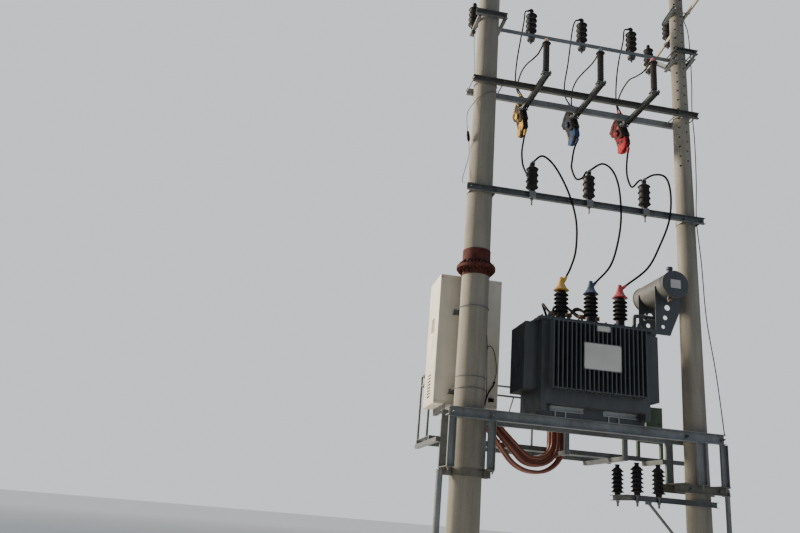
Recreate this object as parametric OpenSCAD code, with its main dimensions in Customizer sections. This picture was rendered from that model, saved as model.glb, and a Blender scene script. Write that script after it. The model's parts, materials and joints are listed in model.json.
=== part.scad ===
// Pole mounted transformer on two round concrete poles.
// X runs along the crossarms, Y runs away from the viewer, Z is up. Millimetres.
// The origin is the middle of the left pole's foot.

/* [Poles] */
// Distance between the pole centres
pole_gap = 2700; // [2500:10:3000]
// Radius of the left pole at the ground
left_pole_r = 189.5; // [175:0.5:205]
// Radius of the right pole at the ground
right_pole_r = 149.3; // [140:0.5:165]
// Height of both pole tops
pole_top_z = 9100; // [8900:10:9600]
// Height of the bolted joint in the left pole
joint_z = 4445; // [4300:5:4600]
// Radius of the bolted joint's flanges
joint_r = 228; // [215:1:245]

/* [Arms] */
// Height of the top arm's upper face
top_arm_z = 7965; // [7900:5:8050]
// Leg of the top arm's angle section
top_arm_leg = 60; // [50:1:75]
// Height of the fuse arms' upper face
fuse_arm_z = 6955; // [6900:5:7050]
// Height of the insulator arm's upper face
post_arm_z = 5455; // [5400:5:5550]
// Height of the channel section of the arms
arm_h = 80; // [70:1:90]
// Depth of the channel section of the arms
arm_d = 45; // [38:1:52]
// Distance between neighbouring phases on the insulator arms
phase_gap = 728; // [690:2:750]
// Distance between neighbouring phases on the fuse arms
fuse_gap = 708; // [690:2:750]

/* [Platform] */
// Height of the platform beams' upper face
beam_z = 2800; // [2700:5:2900]
// Height of the beam section
beam_h = 112; // [100:1:140]
// Depth of the beam section
beam_d = 55; // [48:1:65]

/* [Transformer] */
// Length of the tank between its end walls
tank_l = 1268; // [1150:2:1300]
// Width of the tank between its long walls
tank_w = 690; // [600:2:760]
// Height of the tank from its floor to its flange
tank_h = 925; // [900:1:1000]
// Height of the fins
fin_h = 762; // [700:2:800]
// Number of fins on each long wall
fins_long = 22; // [16:1:24]
// Number of fins on each end wall
fins_end = 12; // [9:1:14]
// Depth of the fins on the long walls
fin_depth = 126; // [100:1:150]
// Depth of the fins on the end walls
end_fin_depth = 166; // [140:1:180]
// Diameter of the conservator
conservator_d = 330; // [300:2:360]
// Length of the conservator
conservator_l = 744; // [700:2:780]

/* [Cabinet] */
// Width of the cabinet
cabinet_w = 756; // [700:2:800]
// Depth of the cabinet
cabinet_d = 540; // [480:2:600]
// Height of the cabinet
cabinet_h = 1540; // [1450:5:1600]

/* [Hidden] */
$fn = 48;

// Clearance between touching round faces.
fit = 0.3;
// Both poles narrow by this much for each millimetre of height.
pole_taper = 0.00667;
function left_r(z) = left_pole_r - pole_taper * z;
function right_r(z) = right_pole_r - pole_taper * z;
// Wall of the arm and beam sections.
arm_wall = 6;
beam_wall = 8;
// How far the arms reach past each pole centre.
arm_over_left = 204;
arm_over_right = 155;
arm_len = arm_over_left + pole_gap + arm_over_right;
// Middle phase on the insulator arm, the top arm and the fuse arms.
phase_x = pole_gap / 2 - 25;
top_phase_x = pole_gap / 2 + 25;
fuse_phase_x = pole_gap / 2 - 38;
rod_r = 8;
// Inner faces of the arms lie on the left pole.
top_arm_y = left_r(top_arm_z - top_arm_leg) + fit;
fuse_arm_y = left_r(fuse_arm_z - arm_h) + fit;
post_arm_y = left_r(post_arm_z - arm_h) + fit;
beam_y = left_r(beam_z - beam_h) + fit;

// Channel along X with its back at y 0 and its flanges towards -Y, top at z 0.
module channel_x(len, h, d, wall) {
    translate([0, 0, -h])
        rotate([90, 0, 90])
            linear_extrude(len)
                polygon([[0, 0], [0, h], [-d, h], [-d, h - wall], [-wall, h - wall],
                    [-wall, wall], [-d, wall], [-d, 0]]);
}

// Angle along X: a wall standing at y 0 and a ledge going back to y leg, top at z 0.
module angle_x(len, leg, wall) {
    translate([0, 0, -leg])
        rotate([90, 0, 90])
            linear_extrude(len)
                polygon([[0, 0], [wall, 0], [wall, leg - wall], [leg, leg - wall], [leg, leg], [0, leg]]);
}

// Rod along Y between two y values.
module rod_y(x, z, y0, y1, r) {
    translate([x, y0, z])
        rotate([-90, 0, 0])
            cylinder(r = r, h = y1 - y0);
}

// Rod along X between two x values.
module rod_x(y, z, x0, x1, r) {
    translate([x0, y, z])
        rotate([0, 90, 0])
            cylinder(r = r, h = x1 - x0);
}

module at_phases(middle, gap) {
    for (k = [-1:1])
        translate([middle + k * gap, 0, 0])
            children();
}

// A solid of revolution with sheds: base radius, shed radius, count and pitch.
module shed_column(core, shed, count, pitch) {
    cylinder(r = core, h = count * pitch);
    for (i = [0:count - 1])
        translate([0, 0, i * pitch + pitch * 0.15])
            cylinder(r1 = shed, r2 = core, h = pitch * 0.6);
}

/* Poles */
module left_pole_lower() {
    color("wheat")
        cylinder(r1 = left_r(0), r2 = left_r(joint_z), h = joint_z, $fn = 96);
}

module left_pole_upper() {
    color("wheat")
        translate([0, 0, joint_z])
            cylinder(r1 = left_r(joint_z), r2 = left_r(pole_top_z), h = pole_top_z - joint_z, $fn = 96);
}

joint_plate = 18;
joint_sleeve = 215;
low_sleeve = 96;
joint_gussets = 16;
sleeve_wall = 5;
gusset_wall = 6;
gusset_h = 92;
gusset_in = 4;
bolt_circle_in = 22;
bolt_r = 9;

// One half of the joint: a sleeve on the tapered pole, a flange plate and a ring of gussets.
module joint_half(side, sleeve) {
    foot_r = left_r(joint_z) + sleeve_wall;
    difference() {
        union() {
            cylinder(r = joint_r, h = joint_plate, $fn = 96);
            cylinder(r1 = foot_r + fit, r2 = left_r(joint_z + side * sleeve) + sleeve_wall + fit, h = sleeve, $fn = 96);
            for (a = [0:joint_gussets - 1])
                rotate([0, 0, a * 360 / joint_gussets])
                    translate([0, gusset_wall / 2, 0])
                        rotate([90, 0, 0])
                            linear_extrude(gusset_wall)
                                polygon([[foot_r - 2, joint_plate - 1], [joint_r - gusset_in, joint_plate - 1],
                                    [joint_r - gusset_in, joint_plate + 8], [foot_r - 2, gusset_h]]);
        }
        translate([0, 0, -0.01])
            cylinder(r1 = left_r(joint_z) + fit, r2 = left_r(joint_z + side * (sleeve + 1)) + fit, h = sleeve + 1, $fn = 96);
        for (a = [0:joint_gussets - 1])
            rotate([0, 0, (a + 0.5) * 360 / joint_gussets])
                translate([joint_r - bolt_circle_in, 0, -1])
                    cylinder(r = bolt_r, h = joint_plate + 2);
    }
}

module pole_joint() {
    color("indianred") {
        translate([0, 0, joint_z])
            joint_half(1, joint_sleeve);
        translate([0, 0, joint_z])
            mirror([0, 0, 1])
                joint_half(-1, low_sleeve);
    }
}

module right_pole() {
    color("tan")
        translate([pole_gap, 0, 0])
            cylinder(r1 = right_r(0), r2 = right_r(pole_top_z), h = pole_top_z, $fn = 96);
}

/* Top level */
// Insulators stand on the ledge of an angle, this far behind its face.
stud_off = 35;
stud_r = 12;
line_spots = [top_phase_x - phase_gap, top_phase_x, top_phase_x + phase_gap];
top_arm_left = -76;

module top_arm() {
    color("lightsteelblue")
        difference() {
            translate([top_arm_left, top_arm_y, top_arm_z])
                angle_x(pole_gap - top_arm_left + arm_over_right, top_arm_leg, arm_wall);
            for (x = line_spots)
                translate([x, top_arm_y + stud_off, top_arm_z - arm_wall - 1])
                    cylinder(r = stud_r + fit, h = arm_wall + 2);
        }
}

pad_l = 420;
pad_d = 45;
right_pad_x = pole_gap - 126;
right_pad_l = 347;
side_bar = 40;
side_bar_x = left_r(top_arm_z) + 22;
left_pad_h = top_arm_leg + 20;
left_bar_x = -top_arm_y - fit - side_bar;
left_bar_l = 437;
bar_spot = [-157, 185];
right_rods = [-108, 165];
packer_w = 120;

module top_arm_clamps() {
    gap_y = right_r(top_arm_z - top_arm_leg) + fit;
    color("slategray") {
        translate([-pad_l / 2, -top_arm_y, top_arm_z])
            channel_x(pad_l, left_pad_h, pad_d, arm_wall);
        translate([right_pad_x, -gap_y, top_arm_z])
            channel_x(right_pad_l, top_arm_leg, pad_d, arm_wall);
        // Bars along both sides of the left pole, from the pad's back; an insulator stands on the left one.
        translate([side_bar_x, -top_arm_y, top_arm_z - top_arm_leg - side_bar])
            cube([side_bar, 2 * top_arm_y + top_arm_leg, side_bar]);
        difference() {
            translate([left_bar_x, -top_arm_y, top_arm_z - top_arm_leg - side_bar])
                cube([side_bar, left_bar_l, side_bar]);
            translate([bar_spot[0], bar_spot[1], top_arm_z - top_arm_leg - side_bar - 1])
                cylinder(r = stud_r + fit, h = side_bar + 2);
        }
        rod_y(side_bar_x + side_bar / 2, top_arm_z - top_arm_leg / 2, -top_arm_y - 1, top_arm_y, rod_r);
        // Packing block between the slimmer right pole and the arm.
        translate([pole_gap - packer_w / 2, gap_y, top_arm_z - top_arm_leg])
            cube([packer_w, top_arm_y - gap_y, top_arm_leg]);
        for (x = right_rods)
            rod_y(pole_gap + x, top_arm_z - top_arm_leg / 2, -gap_y - 1, top_arm_y, rod_r);
    }
}

// Porcelain body of a pin insulator: a cone on a foot, three flat rims and a dome.
pin_foot_r = 38;
pin_foot_h = 34;
pin_rim_r = 77;
pin_core_r = 58;
pin_low = 60;
pin_pitch = 80;
pin_rim_h = 28;
pin_dome_z = pin_low + 3 * pin_pitch;
pin_top_z = pin_dome_z + 42;
module pin_body() {
    rotate_extrude()
        polygon(concat([[0, 0], [pin_foot_r, 0], [pin_foot_r, pin_foot_h]],
            [for (i = [0:2]) each [[pin_rim_r, pin_low + i * pin_pitch], [pin_core_r, pin_low + i * pin_pitch + pin_rim_h],
                [pin_core_r, pin_low + (i + 1) * pin_pitch]]],
            [[pin_rim_r, pin_dome_z], [30, pin_top_z], [0, pin_top_z]]));
}

// Line insulator with its stud through a ledge, a nut down to the leg's edge and a round foot below that.
line_ins_h = 410;
module line_insulator(ledge, leg, foot_r, foot_h) {
    pin_body();
    translate([0, 0, pin_top_z - 1])
        cylinder(r = 24, h = line_ins_h - pin_top_z + 1);
    translate([0, 0, -leg - 1])
        cylinder(r = stud_r, h = leg + 2);
    if (leg > ledge)
        translate([0, 0, -leg - 1])
            cylinder(r = 22, h = leg - ledge + 1);
    translate([0, 0, -leg - foot_h])
        cylinder(r1 = foot_r - 5, r2 = foot_r, h = foot_h);
    translate([0, 0, -leg - 85])
        cylinder(r = stud_r, h = 86 - foot_h);
}

line_arm_z = 8580;
line_arm_turn = -5;
line_arm_half = 1300;
line_arm_leg = 55;
line_arm_off = right_r(line_arm_z - line_arm_leg) + fit;
line_arm_spots = [550, 1240];
line_stud_off = 30;

module line_arm() {
    color("beige")
        translate([pole_gap, 0, line_arm_z])
            rotate([0, 0, line_arm_turn])
                difference() {
                    translate([line_arm_off, line_arm_half, 0])
                        rotate([0, 0, -90])
                            angle_x(2 * line_arm_half, line_arm_leg, arm_wall);
                    for (y = line_arm_spots)
                        translate([line_arm_off + line_stud_off, y, -arm_wall - 1])
                            cylinder(r = stud_r + fit, h = arm_wall + 2);
                }
}

module line_insulators() {
    color("dimgray") {
        for (x = line_spots)
            translate([x, top_arm_y + stud_off, top_arm_z])
                line_insulator(arm_wall, top_arm_leg, 57, 30);
        translate([bar_spot[0], bar_spot[1], top_arm_z - top_arm_leg])
            line_insulator(side_bar, side_bar, 30, 20);
        for (x = [1:3], lead = [lead_tops[x - 1]])
            stub(lead[0], lead[1], lead_d / 2 + 2, 50);
        translate([pole_gap, 0, line_arm_z])
            rotate([0, 0, line_arm_turn])
                for (y = line_arm_spots)
                    translate([line_arm_off + line_stud_off, y, 0])
                        line_insulator(arm_wall, line_arm_leg, 57, 30);
    }
}

low_grip_z = 7800;
grip_l = 300;
up_grip = [-210, 130];
right_grip_l = 370;
grip_d = 45;
grip_rod_y = 118;
brace_leg = 60;
brace_low = [150, 7772];
brace_high = [1020, 8542];
module line_arm_clamps() {
    up_x = -line_arm_off;
    low_x = right_r(low_grip_z - line_arm_leg) + fit;
    color("slategray")
        translate([pole_gap, 0, 0])
            rotate([0, 0, line_arm_turn]) {
                translate([up_x, up_grip[1], line_arm_z])
                    rotate([0, 0, -90])
                        channel_x(up_grip[1] - up_grip[0], line_arm_leg, grip_d, arm_wall);
                for (s = [-1, 1]) {
                    rod_x(s * grip_rod_y, line_arm_z - line_arm_leg / 2, up_x - 1, line_arm_off, rod_r);
                    rod_x(s * grip_rod_y, low_grip_z - line_arm_leg / 2, -low_x - 1, low_x + 1, rod_r);
                }
                for (s = [0, 1])
                    mirror([s, 0, 0])
                        translate([-low_x, grip_l / 2, low_grip_z])
                            rotate([0, 0, -90])
                                channel_x(s == 0 ? grip_l : right_grip_l, line_arm_leg, grip_d, arm_wall);
                // Knee brace from the right grip bar up to the inside of the line arm.
                knee = [brace_high[0] - brace_low[0], brace_high[1] - brace_low[1]];
                translate([line_arm_off - arm_wall, brace_low[0], brace_low[1]])
                    rotate([atan2(knee[1], knee[0]), 0, 0]) {
                        translate([0, 0, -brace_leg / 2])
                            cube([arm_wall, norm(knee), brace_leg]);
                        translate([arm_wall - brace_leg, 0, -brace_leg / 2])
                            cube([brace_leg, norm(knee), arm_wall]);
                    }
                translate([line_arm_off - 1, grip_l / 2 - 30, low_grip_z - line_arm_leg])
                    cube([low_x - line_arm_off + 2, 60, line_arm_leg]);
            }
}

/* Fuse level */
module fuse_arms() {
    color("lightsteelblue")
        for (s = [0, 1])
            mirror([0, s, 0])
                translate([-arm_over_left, -fuse_arm_y, fuse_arm_z])
                    channel_x(arm_len, arm_h, arm_d, arm_wall);
}

rod_off = 195;
right_rod_off = 132;
module arm_rods() {
    fuse_gap_y = right_r(fuse_arm_z - arm_h) + fit;
    post_gap_y = right_r(post_arm_z - arm_h) + fit;
    color("gray") {
        for (x = [-rod_off, rod_off, pole_gap - right_rod_off, pole_gap + right_rod_off])
            rod_y(x, fuse_arm_z - arm_h / 2, -fuse_arm_y, fuse_arm_y, rod_r);
        for (s = [0, 1])
            mirror([0, s, 0])
                translate([pole_gap - packer_w / 2, -fuse_arm_y, fuse_arm_z - arm_h])
                    cube([packer_w, fuse_arm_y - fuse_gap_y, arm_h]);
        translate([pole_gap - packer_w / 2, -post_arm_y, post_arm_z - arm_h])
            cube([packer_w, post_arm_y - post_gap_y, arm_h]);
    }
}

bar_w = 75;
bar_h = 42;
bar_near = -600;
bar_far = 230;
bar_z = fuse_arm_z - arm_h;
// Each bar is a channel lying on its back with the flanges down.
module mount_bars() {
    color("darkslategray")
        at_phases(fuse_phase_x, fuse_gap)
            translate([-bar_w / 2, bar_near, bar_z - bar_h])
                difference() {
                    cube([bar_w, bar_far - bar_near, bar_h]);
                    translate([arm_wall, -1, -1])
                        cube([bar_w - 2 * arm_wall, bar_far - bar_near + 2, bar_h - arm_wall + 1]);
                }
}

arrester_y = bar_near + 40;
arrester_foot = 40;
arrester_ribs = 16;
arrester_pitch = 24.5;
arrester_top = arrester_foot + arrester_ribs * arrester_pitch;
arrester_hood = 30;
module arresters() {
    color("dimgray")
        at_phases(fuse_phase_x, fuse_gap)
            translate([0, arrester_y, bar_z]) {
                cylinder(r = 24, h = arrester_foot);
                translate([0, 0, arrester_foot])
                    shed_column(36, 41, arrester_ribs, arrester_pitch);
                translate([0, 0, arrester_top])
                    cylinder(r1 = 56, r2 = 34, h = arrester_hood);
                // Bracket plate on the bar.
                translate([-bar_w / 2 - 20, -45, 0])
                    cube([bar_w + 40, 90, 8]);
            }
}

// Cutouts lean outwards beyond the far ends of the bars.
cut_y = bar_far + 75;
cut_z = 6885;
cut_lean = 26;
cut_low = -240;
cut_top = 180;
fuse_tube_y = 240;
fuse_tube_r = 15;
fuse_tube_z = [-290, 120];
cover_w = 94;
upper_cover = [[-48, cut_top], [-48, 225], [0, 250], [90, 252], [200, 250], [312, 235], [268, 45], [224, 23],
    [205, 60], [185, 150], [100, 190], [48, cut_top]];
lower_cover = [[-10, -350], [-10, cut_low], [52, cut_low], [62, -170], [110, -140], [150, -195], [278, -295],
    [240, -330], [184, -394], [100, -410], [20, -395]];

module at_cutout() {
    translate([0, cut_y, cut_z])
        rotate([-cut_lean, 0, 0])
            children();
}

module cutouts() {
    color("dimgray")
        at_phases(fuse_phase_x, fuse_gap) {
            translate([-30, bar_far, bar_z - bar_h])
                cube([60, cut_y - bar_far, bar_h]);
            at_cutout() {
                translate([0, 0, cut_low])
                    shed_column(32, 48, 10, (cut_top - cut_low) / 10);
                translate([0, fuse_tube_y, fuse_tube_z[0]])
                    cylinder(r = fuse_tube_r, h = fuse_tube_z[1] - fuse_tube_z[0]);
            }
        }
}

module cutout_cover(outline) {
    rotate([90, 0, 90])
        translate([0, 0, -cover_w / 2])
            linear_extrude(cover_w)
                polygon(outline);
}

hv_y = -200;
hv_gap = 362;
hv_neck = 116;
hv_sheds = 5;
hv_pitch = 49;
hv_head = 368;
hv_stem = 62;

// Hollow hood over a bushing's head, open below.
module bushing_cap() {
    rotate_extrude()
        polygon([[30 + fit, 0], [90, 0], [90, 35], [62, 54], [50, 92], [34, 122], [20, 167], [0, 167],
            [0, hv_stem + fit], [30 + fit, hv_stem + fit]]);
}

// One phase's colour: hoods on the arrester and the bushing, covers on the cutout, and lead sockets.
module cap_set(k) {
    x = fuse_phase_x + k * fuse_gap;
    translate([x, arrester_y, bar_z + arrester_top + arrester_hood])
        cylinder(r1 = 30, r2 = 12, h = 50);
    translate([x, 0, 0])
        at_cutout()
            difference() {
                union() {
                    cutout_cover(upper_cover);
                    cutout_cover(lower_cover);
                }
                translate([0, fuse_tube_y, fuse_tube_z[0] - fit])
                    cylinder(r = fuse_tube_r + fit, h = fuse_tube_z[1] - fuse_tube_z[0] + 2 * fit);
            }
    translate([tank_x + k * hv_gap, hv_y, lid_z + hv_head + 10])
        bushing_cap();
    stub(last(jumpers[k + 1]), before_last(jumpers[k + 1]), jumper_d / 2 + 4, 60);
    stub(jumpers[k + 1][0], jumpers[k + 1][1], jumper_d / 2 + 4, 70);
    stub(last(lead_tops[k + 1]), before_last(lead_tops[k + 1]), lead_d / 2 + 3, 60);
    stub(last(lead_arresters[k + 1]), before_last(lead_arresters[k + 1]), lead_d / 2 + 3, 50);
    stub(lead_arresters[k + 1][0], lead_arresters[k + 1][1], lead_d / 2 + 3, 40);
}

module caps_yellow() {
    color("gold")
        cap_set(-1);
}

module caps_blue() {
    color("royalblue")
        cap_set(0);
}

module caps_red() {
    color("crimson")
        cap_set(1);
}

/* Post insulator level */
post_ins_y = -post_arm_y - arm_d / 2;
module post_arm() {
    color("darkslategray")
        difference() {
            translate([-arm_over_left, -post_arm_y, post_arm_z])
                channel_x(arm_len, arm_h, arm_d, arm_wall);
            at_phases(phase_x, phase_gap)
                translate([0, post_ins_y, post_arm_z - arm_h - 1])
                    cylinder(r = stud_r + fit, h = arm_h + 2);
        }
}

strap_w = 50;
strap_t = 6;
// Strap round the back of a pole with its legs running to a flat face at -y.
module strap(r, y, width) {
    linear_extrude(width)
        difference() {
            union() {
                circle(r = r + strap_t, $fn = 96);
                translate([-r - strap_t, -y])
                    square([2 * (r + strap_t), y]);
            }
            circle(r = r, $fn = 96);
            translate([-r, -y])
                square([2 * r, y]);
            translate([-2 * r, -y - 2 * r])
                square([4 * r, 2 * r]);
        }
}

module arm_straps() {
    color("gray") {
        translate([0, 0, post_arm_z - arm_h / 2 - strap_w / 2])
            strap(left_r(post_arm_z - arm_h) + fit, post_arm_y, strap_w);
        translate([pole_gap, 0, post_arm_z - arm_h / 2 - strap_w / 2])
            strap(right_r(post_arm_z - arm_h) + fit, post_arm_y, strap_w);
    }
}

post_neck_z = 372;
post_head_z = 390;
module post_insulators() {
    color("dimgray")
        at_phases(phase_x, phase_gap)
            translate([0, post_ins_y, post_arm_z]) {
                pin_body();
                translate([0, 0, pin_top_z - 1])
                    cylinder(r = 28, h = post_neck_z - pin_top_z + 1);
                translate([0, 0, post_neck_z])
                    cylinder(r1 = 32, r2 = 24, h = post_head_z - post_neck_z);
                translate([0, 0, -arm_h - 88])
                    cylinder(r = stud_r, h = arm_h + 90);
                translate([0, 0, -arm_h - 24])
                    cylinder(r = 22, h = 24);
            }
}

/* Platform */
beam_left = -262;
beam_right = pole_gap + 243;
module platform_beams() {
    color("slategray")
        for (s = [0, 1])
            mirror([0, s, 0])
                translate([beam_left, -beam_y, beam_z])
                    channel_x(beam_right - beam_left, beam_h, beam_d, beam_wall);
}

beam_rod_off = 215;
beam_rod_r = 10;
module beam_rods() {
    gap_y = right_r(beam_z - beam_h) + fit;
    color("gray") {
        for (x = [0, pole_gap], s = [-1, 1])
            rod_y(x + s * beam_rod_off, beam_z - beam_h / 2, -beam_y, beam_y, beam_rod_r);
        for (s = [0, 1])
            mirror([0, s, 0])
                translate([pole_gap - 70, -beam_y, beam_z - beam_h])
                    cube([140, beam_y - gap_y, beam_h]);
    }
}

strut_w = 85;
strut_d = 40;
strut_x = 220;
strut_low_z = beam_z - 620;
// Upright channel with its back at y 0 and its flanges towards -Y.
module strut(h, w) {
    linear_extrude(h)
        polygon([[-w / 2, 0], [w / 2, 0], [w / 2, -strut_d], [w / 2 - arm_wall, -strut_d],
            [w / 2 - arm_wall, -arm_wall], [-w / 2 + arm_wall, -arm_wall], [-w / 2 + arm_wall, -strut_d], [-w / 2, -strut_d]]);
}

right_low_z = beam_z - 563;
rear_strut_x = pole_gap - 230;
front_strut_x = pole_gap + 225;
pad_strut_x = pole_gap - 52;
module pole_struts() {
    color("gray") {
        for (x = [-1, 1], s = [0, 1])
            mirror([0, s, 0])
                translate([x * strut_x, -beam_y, strut_low_z])
                    strut(beam_z - beam_h - strut_low_z, strut_w);
        translate([rear_strut_x, beam_y, right_low_z])
            mirror([0, 1, 0])
                strut(beam_z - beam_h - right_low_z, strut_w);
        translate([front_strut_x, -beam_y, right_low_z])
            strut(beam_z - beam_h - right_low_z, strut_w);
        translate([pad_strut_x, -beam_y, right_low_z])
            strut(beam_z - beam_h - right_low_z, 105);
    }
}

collar_h = 90;
collar_wall = 8;
foot_t = 12;
right_collar_h = 90;
module pole_collars() {
    left_in = left_r(strut_low_z - collar_h) + fit;
    right_in = right_r(right_low_z - foot_t - right_collar_h) + fit;
    color("gray") {
        // Ring on the left pole with a foot plate and gussets on each side.
        translate([0, 0, strut_low_z - collar_h])
            linear_extrude(collar_h - foot_t)
                difference() {
                    circle(r = left_in + collar_wall, $fn = 96);
                    circle(r = left_in, $fn = 96);
                }
        for (s = [0, 1])
            mirror([s, 0, 0]) {
                translate([left_in + 2, -beam_y - strut_d, strut_low_z - foot_t])
                    cube([strut_x + strut_w / 2 - left_in - 2, 2 * (beam_y + strut_d), foot_t]);
                for (y = [-60, 50])
                    translate([left_in + 2, y, strut_low_z - collar_h])
                        cube([strut_x + strut_w / 2 - left_in - 2, 10, collar_h - foot_t]);
            }
        // Two channels gripping the right pole, with a foot plate for each strut.
        for (s = [0, 1])
            mirror([0, s, 0])
                translate([pole_gap - 350, -right_in, right_low_z - foot_t])
                    channel_x(640, right_collar_h, 45, arm_wall);
        for (x = [rear_strut_x, front_strut_x])
            translate([x - 50, -beam_y - strut_d, right_low_z - foot_t])
                cube([100, 2 * (beam_y + strut_d), foot_t]);
        translate([pad_strut_x - 54, -beam_y - strut_d, right_low_z - foot_t])
            cube([108, beam_y + strut_d - right_in, foot_t]);
        for (x = [-170, 180])
            rod_y(pole_gap + x, right_low_z - foot_t - right_collar_h / 2, -right_in - 1, right_in + 1, rod_r);
        // Arms that hold the down pipes.
        translate([-left_pipe_off + left_pipe_d / 2, left_pipe_y - 20, strut_low_z - collar_h])
            cube([left_pipe_off - left_pipe_d / 2 - left_in, 40, 40]);
        translate([pole_gap + 280, -60, right_low_z - foot_t - right_collar_h])
            cube([right_pipe_off - right_pipe_d / 2 - 280, 40, 40]);
        translate([pole_gap + 280, -right_in - 20, right_low_z - foot_t - right_collar_h])
            cube([20, right_in - 20, 40]);
    }
}

/* Transformer */
tank_x = pole_gap / 2 - 12;
tank_low_z = beam_z + 120;
tank_top_z = tank_low_z + tank_h;
fin_low_z = tank_low_z + 151;
fin_t = 12;
fin_back = 4;
skid_w = 60;
skid_y = 205;
module base_frame() {
    color("darkslategray") {
        for (s = [0, 1])
            mirror([0, s, 0])
                translate([tank_x - tank_l / 2, -skid_y, beam_z])
                    cube([tank_l, skid_w, tank_low_z - beam_z]);
        for (s = [-1, 1], y = [-tank_w / 2, skid_y - skid_w])
            translate([tank_x + s * (tank_l / 2 - skid_w / 2) - skid_w / 2, y < 0 ? y : skid_y, beam_z + 40])
                cube([skid_w, tank_w / 2 - skid_y, tank_low_z - beam_z - 40]);
        for (s = [-1, 1])
            translate([tank_x + s * (tank_l / 2 - skid_w / 2) - skid_w / 2, -skid_y + skid_w - 1, beam_z + 40])
                cube([skid_w, 2 * (skid_y - skid_w) + 2, tank_low_z - beam_z - 40]);
    }
}

foot_bar_l = 388;
foot_bar_h = 55;
foot_bar_d = 34;
foot_bar_z = beam_z + 115;
// Clamp bars on the front skid, each with two hold-down rods standing on the beam.
module foot_bars() {
    color("silver")
        for (x = [855, 1477])
            translate([x, -skid_y, 0]) {
                translate([0, 0, foot_bar_z])
                    channel_x(foot_bar_l, foot_bar_h, foot_bar_d, 5);
                for (rx = [60, 180])
                    translate([rx, -14, beam_z])
                        cylinder(r = 7, h = foot_bar_z - foot_bar_h - beam_z + 2);
            }
}

wall_t = 6;
module tank() {
    color("dimgray")
        difference() {
            translate([tank_x - tank_l / 2, -tank_w / 2, tank_low_z])
                cube([tank_l, tank_w, tank_h]);
            translate([tank_x - tank_l / 2 + wall_t, -tank_w / 2 + wall_t, tank_low_z + wall_t])
                cube([tank_l - 2 * wall_t, tank_w - 2 * wall_t, tank_h]);
        }
}

long_pack = 1092;
end_pack = 482;
// A row of thin fins standing on a back plate that lies on the tank's wall.
module fin_row(len, count, depth) {
    pitch = (len - fin_t) / (count - 1);
    translate([-len / 2, -fin_back, 0])
        cube([len, fin_back, fin_h]);
    for (i = [0:count - 1])
        translate([-len / 2 + i * pitch, -depth, 0])
            cube([fin_t, depth - fin_back + 1, fin_h]);
}

module long_fins() {
    color("slategray")
        translate([tank_x, 0, fin_low_z])
            for (a = [0, 180])
                rotate([0, 0, a])
                    translate([0, -tank_w / 2, 0])
                        fin_row(long_pack, fins_long, fin_depth);
}

module end_fins() {
    color("slategray")
        translate([tank_x, 0, fin_low_z])
            for (a = [-90, 90])
                rotate([0, 0, a])
                    translate([0, -tank_l / 2, 0])
                        fin_row(end_pack, fins_end, end_fin_depth);
}

lid_over = 44;
flange_t = 20;
lid_t = 12;
lid_in = 40;
lid_z = tank_top_z + flange_t + lid_t;
module lid() {
    color("slategray")
        difference() {
            translate([tank_x - tank_l / 2 - lid_over, -tank_w / 2 - lid_over, tank_top_z])
                cube([tank_l + 2 * lid_over, tank_w + 2 * lid_over, flange_t + lid_t]);
            translate([tank_x - tank_l / 2 + lid_in, -tank_w / 2 + lid_in, tank_top_z - 1])
                cube([tank_l - 2 * lid_in, tank_w - 2 * lid_in, flange_t + 1]);
        }
}

module high_bushings() {
    color("dimgray")
        for (k = [-1:1])
            translate([tank_x + k * hv_gap, hv_y, lid_z]) {
                cylinder(r = 70, h = 20);
                cylinder(r = 50, h = hv_neck + 1);
                translate([0, 0, hv_neck])
                    shed_column(56, 85, hv_sheds, hv_pitch);
                cylinder(r = 46, h = hv_head + 10);
                translate([0, 0, hv_head + 10])
                    cylinder(r = 30, h = hv_stem);
            }
}

lv_y = 200;
lv_x = tank_x - 26;
lv_gap = 178;
lv_palm_z = lid_z + 213;
module low_bushings() {
    color("chocolate")
        for (k = [-1.5:1:1.5])
            translate([lv_x + k * lv_gap, lv_y, lid_z]) {
                cylinder(r = 45, h = 15);
                translate([0, 0, 15])
                    shed_column(26, 40, 4, 32);
                translate([0, 0, 143])
                    cylinder(r = 14, h = lv_palm_z - lid_z - 143);
                // Flat palm for two cable lugs.
                translate([-48, -8, lv_palm_z - lid_z - 26])
                    cube([96, 16, 52]);
            }
}

cons_x = tank_x + 976;
cons_z = lid_z + 589;
cons_end = 16;
cons_rim = 6;
module conservator() {
    color("gray")
        translate([cons_x, conservator_l / 2, cons_z])
            rotate([90, 0, 0]) {
                cylinder(d = conservator_d - 2 * cons_rim, h = conservator_l, $fn = 72);
                for (z = [0, conservator_l - cons_end])
                    translate([0, 0, z])
                        cylinder(d = conservator_d, h = cons_end, $fn = 72);
            }
}

plate_y = 200;
plate_t = 8;
module conservator_plate() {
    rotate([90, 0, 0])
        linear_extrude(plate_t)
            difference() {
                polygon([[tank_x + 500, lid_z], [cons_x + 5, lid_z], [cons_x + 145, cons_z - 260], [cons_x + 145, cons_z],
                    [cons_x - 174, cons_z], [cons_x - 174, lid_z + 48], [tank_x + 520, lid_z + 34]]);
                translate([cons_x, cons_z])
                    circle(d = conservator_d - 2 * cons_rim + 2 * fit, $fn = 72);
                translate([cons_x - 23, cons_z - 251])
                    circle(r = 34);
                translate([cons_x - 53, cons_z - 377])
                    circle(r = 27);
                translate([cons_x - 82, cons_z - 490])
                    circle(r = 22);
            }
}

module conservator_plates() {
    color("slategray")
        for (y = [-plate_y, plate_y + plate_t])
            translate([0, y, 0])
                conservator_plate();
}

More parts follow.
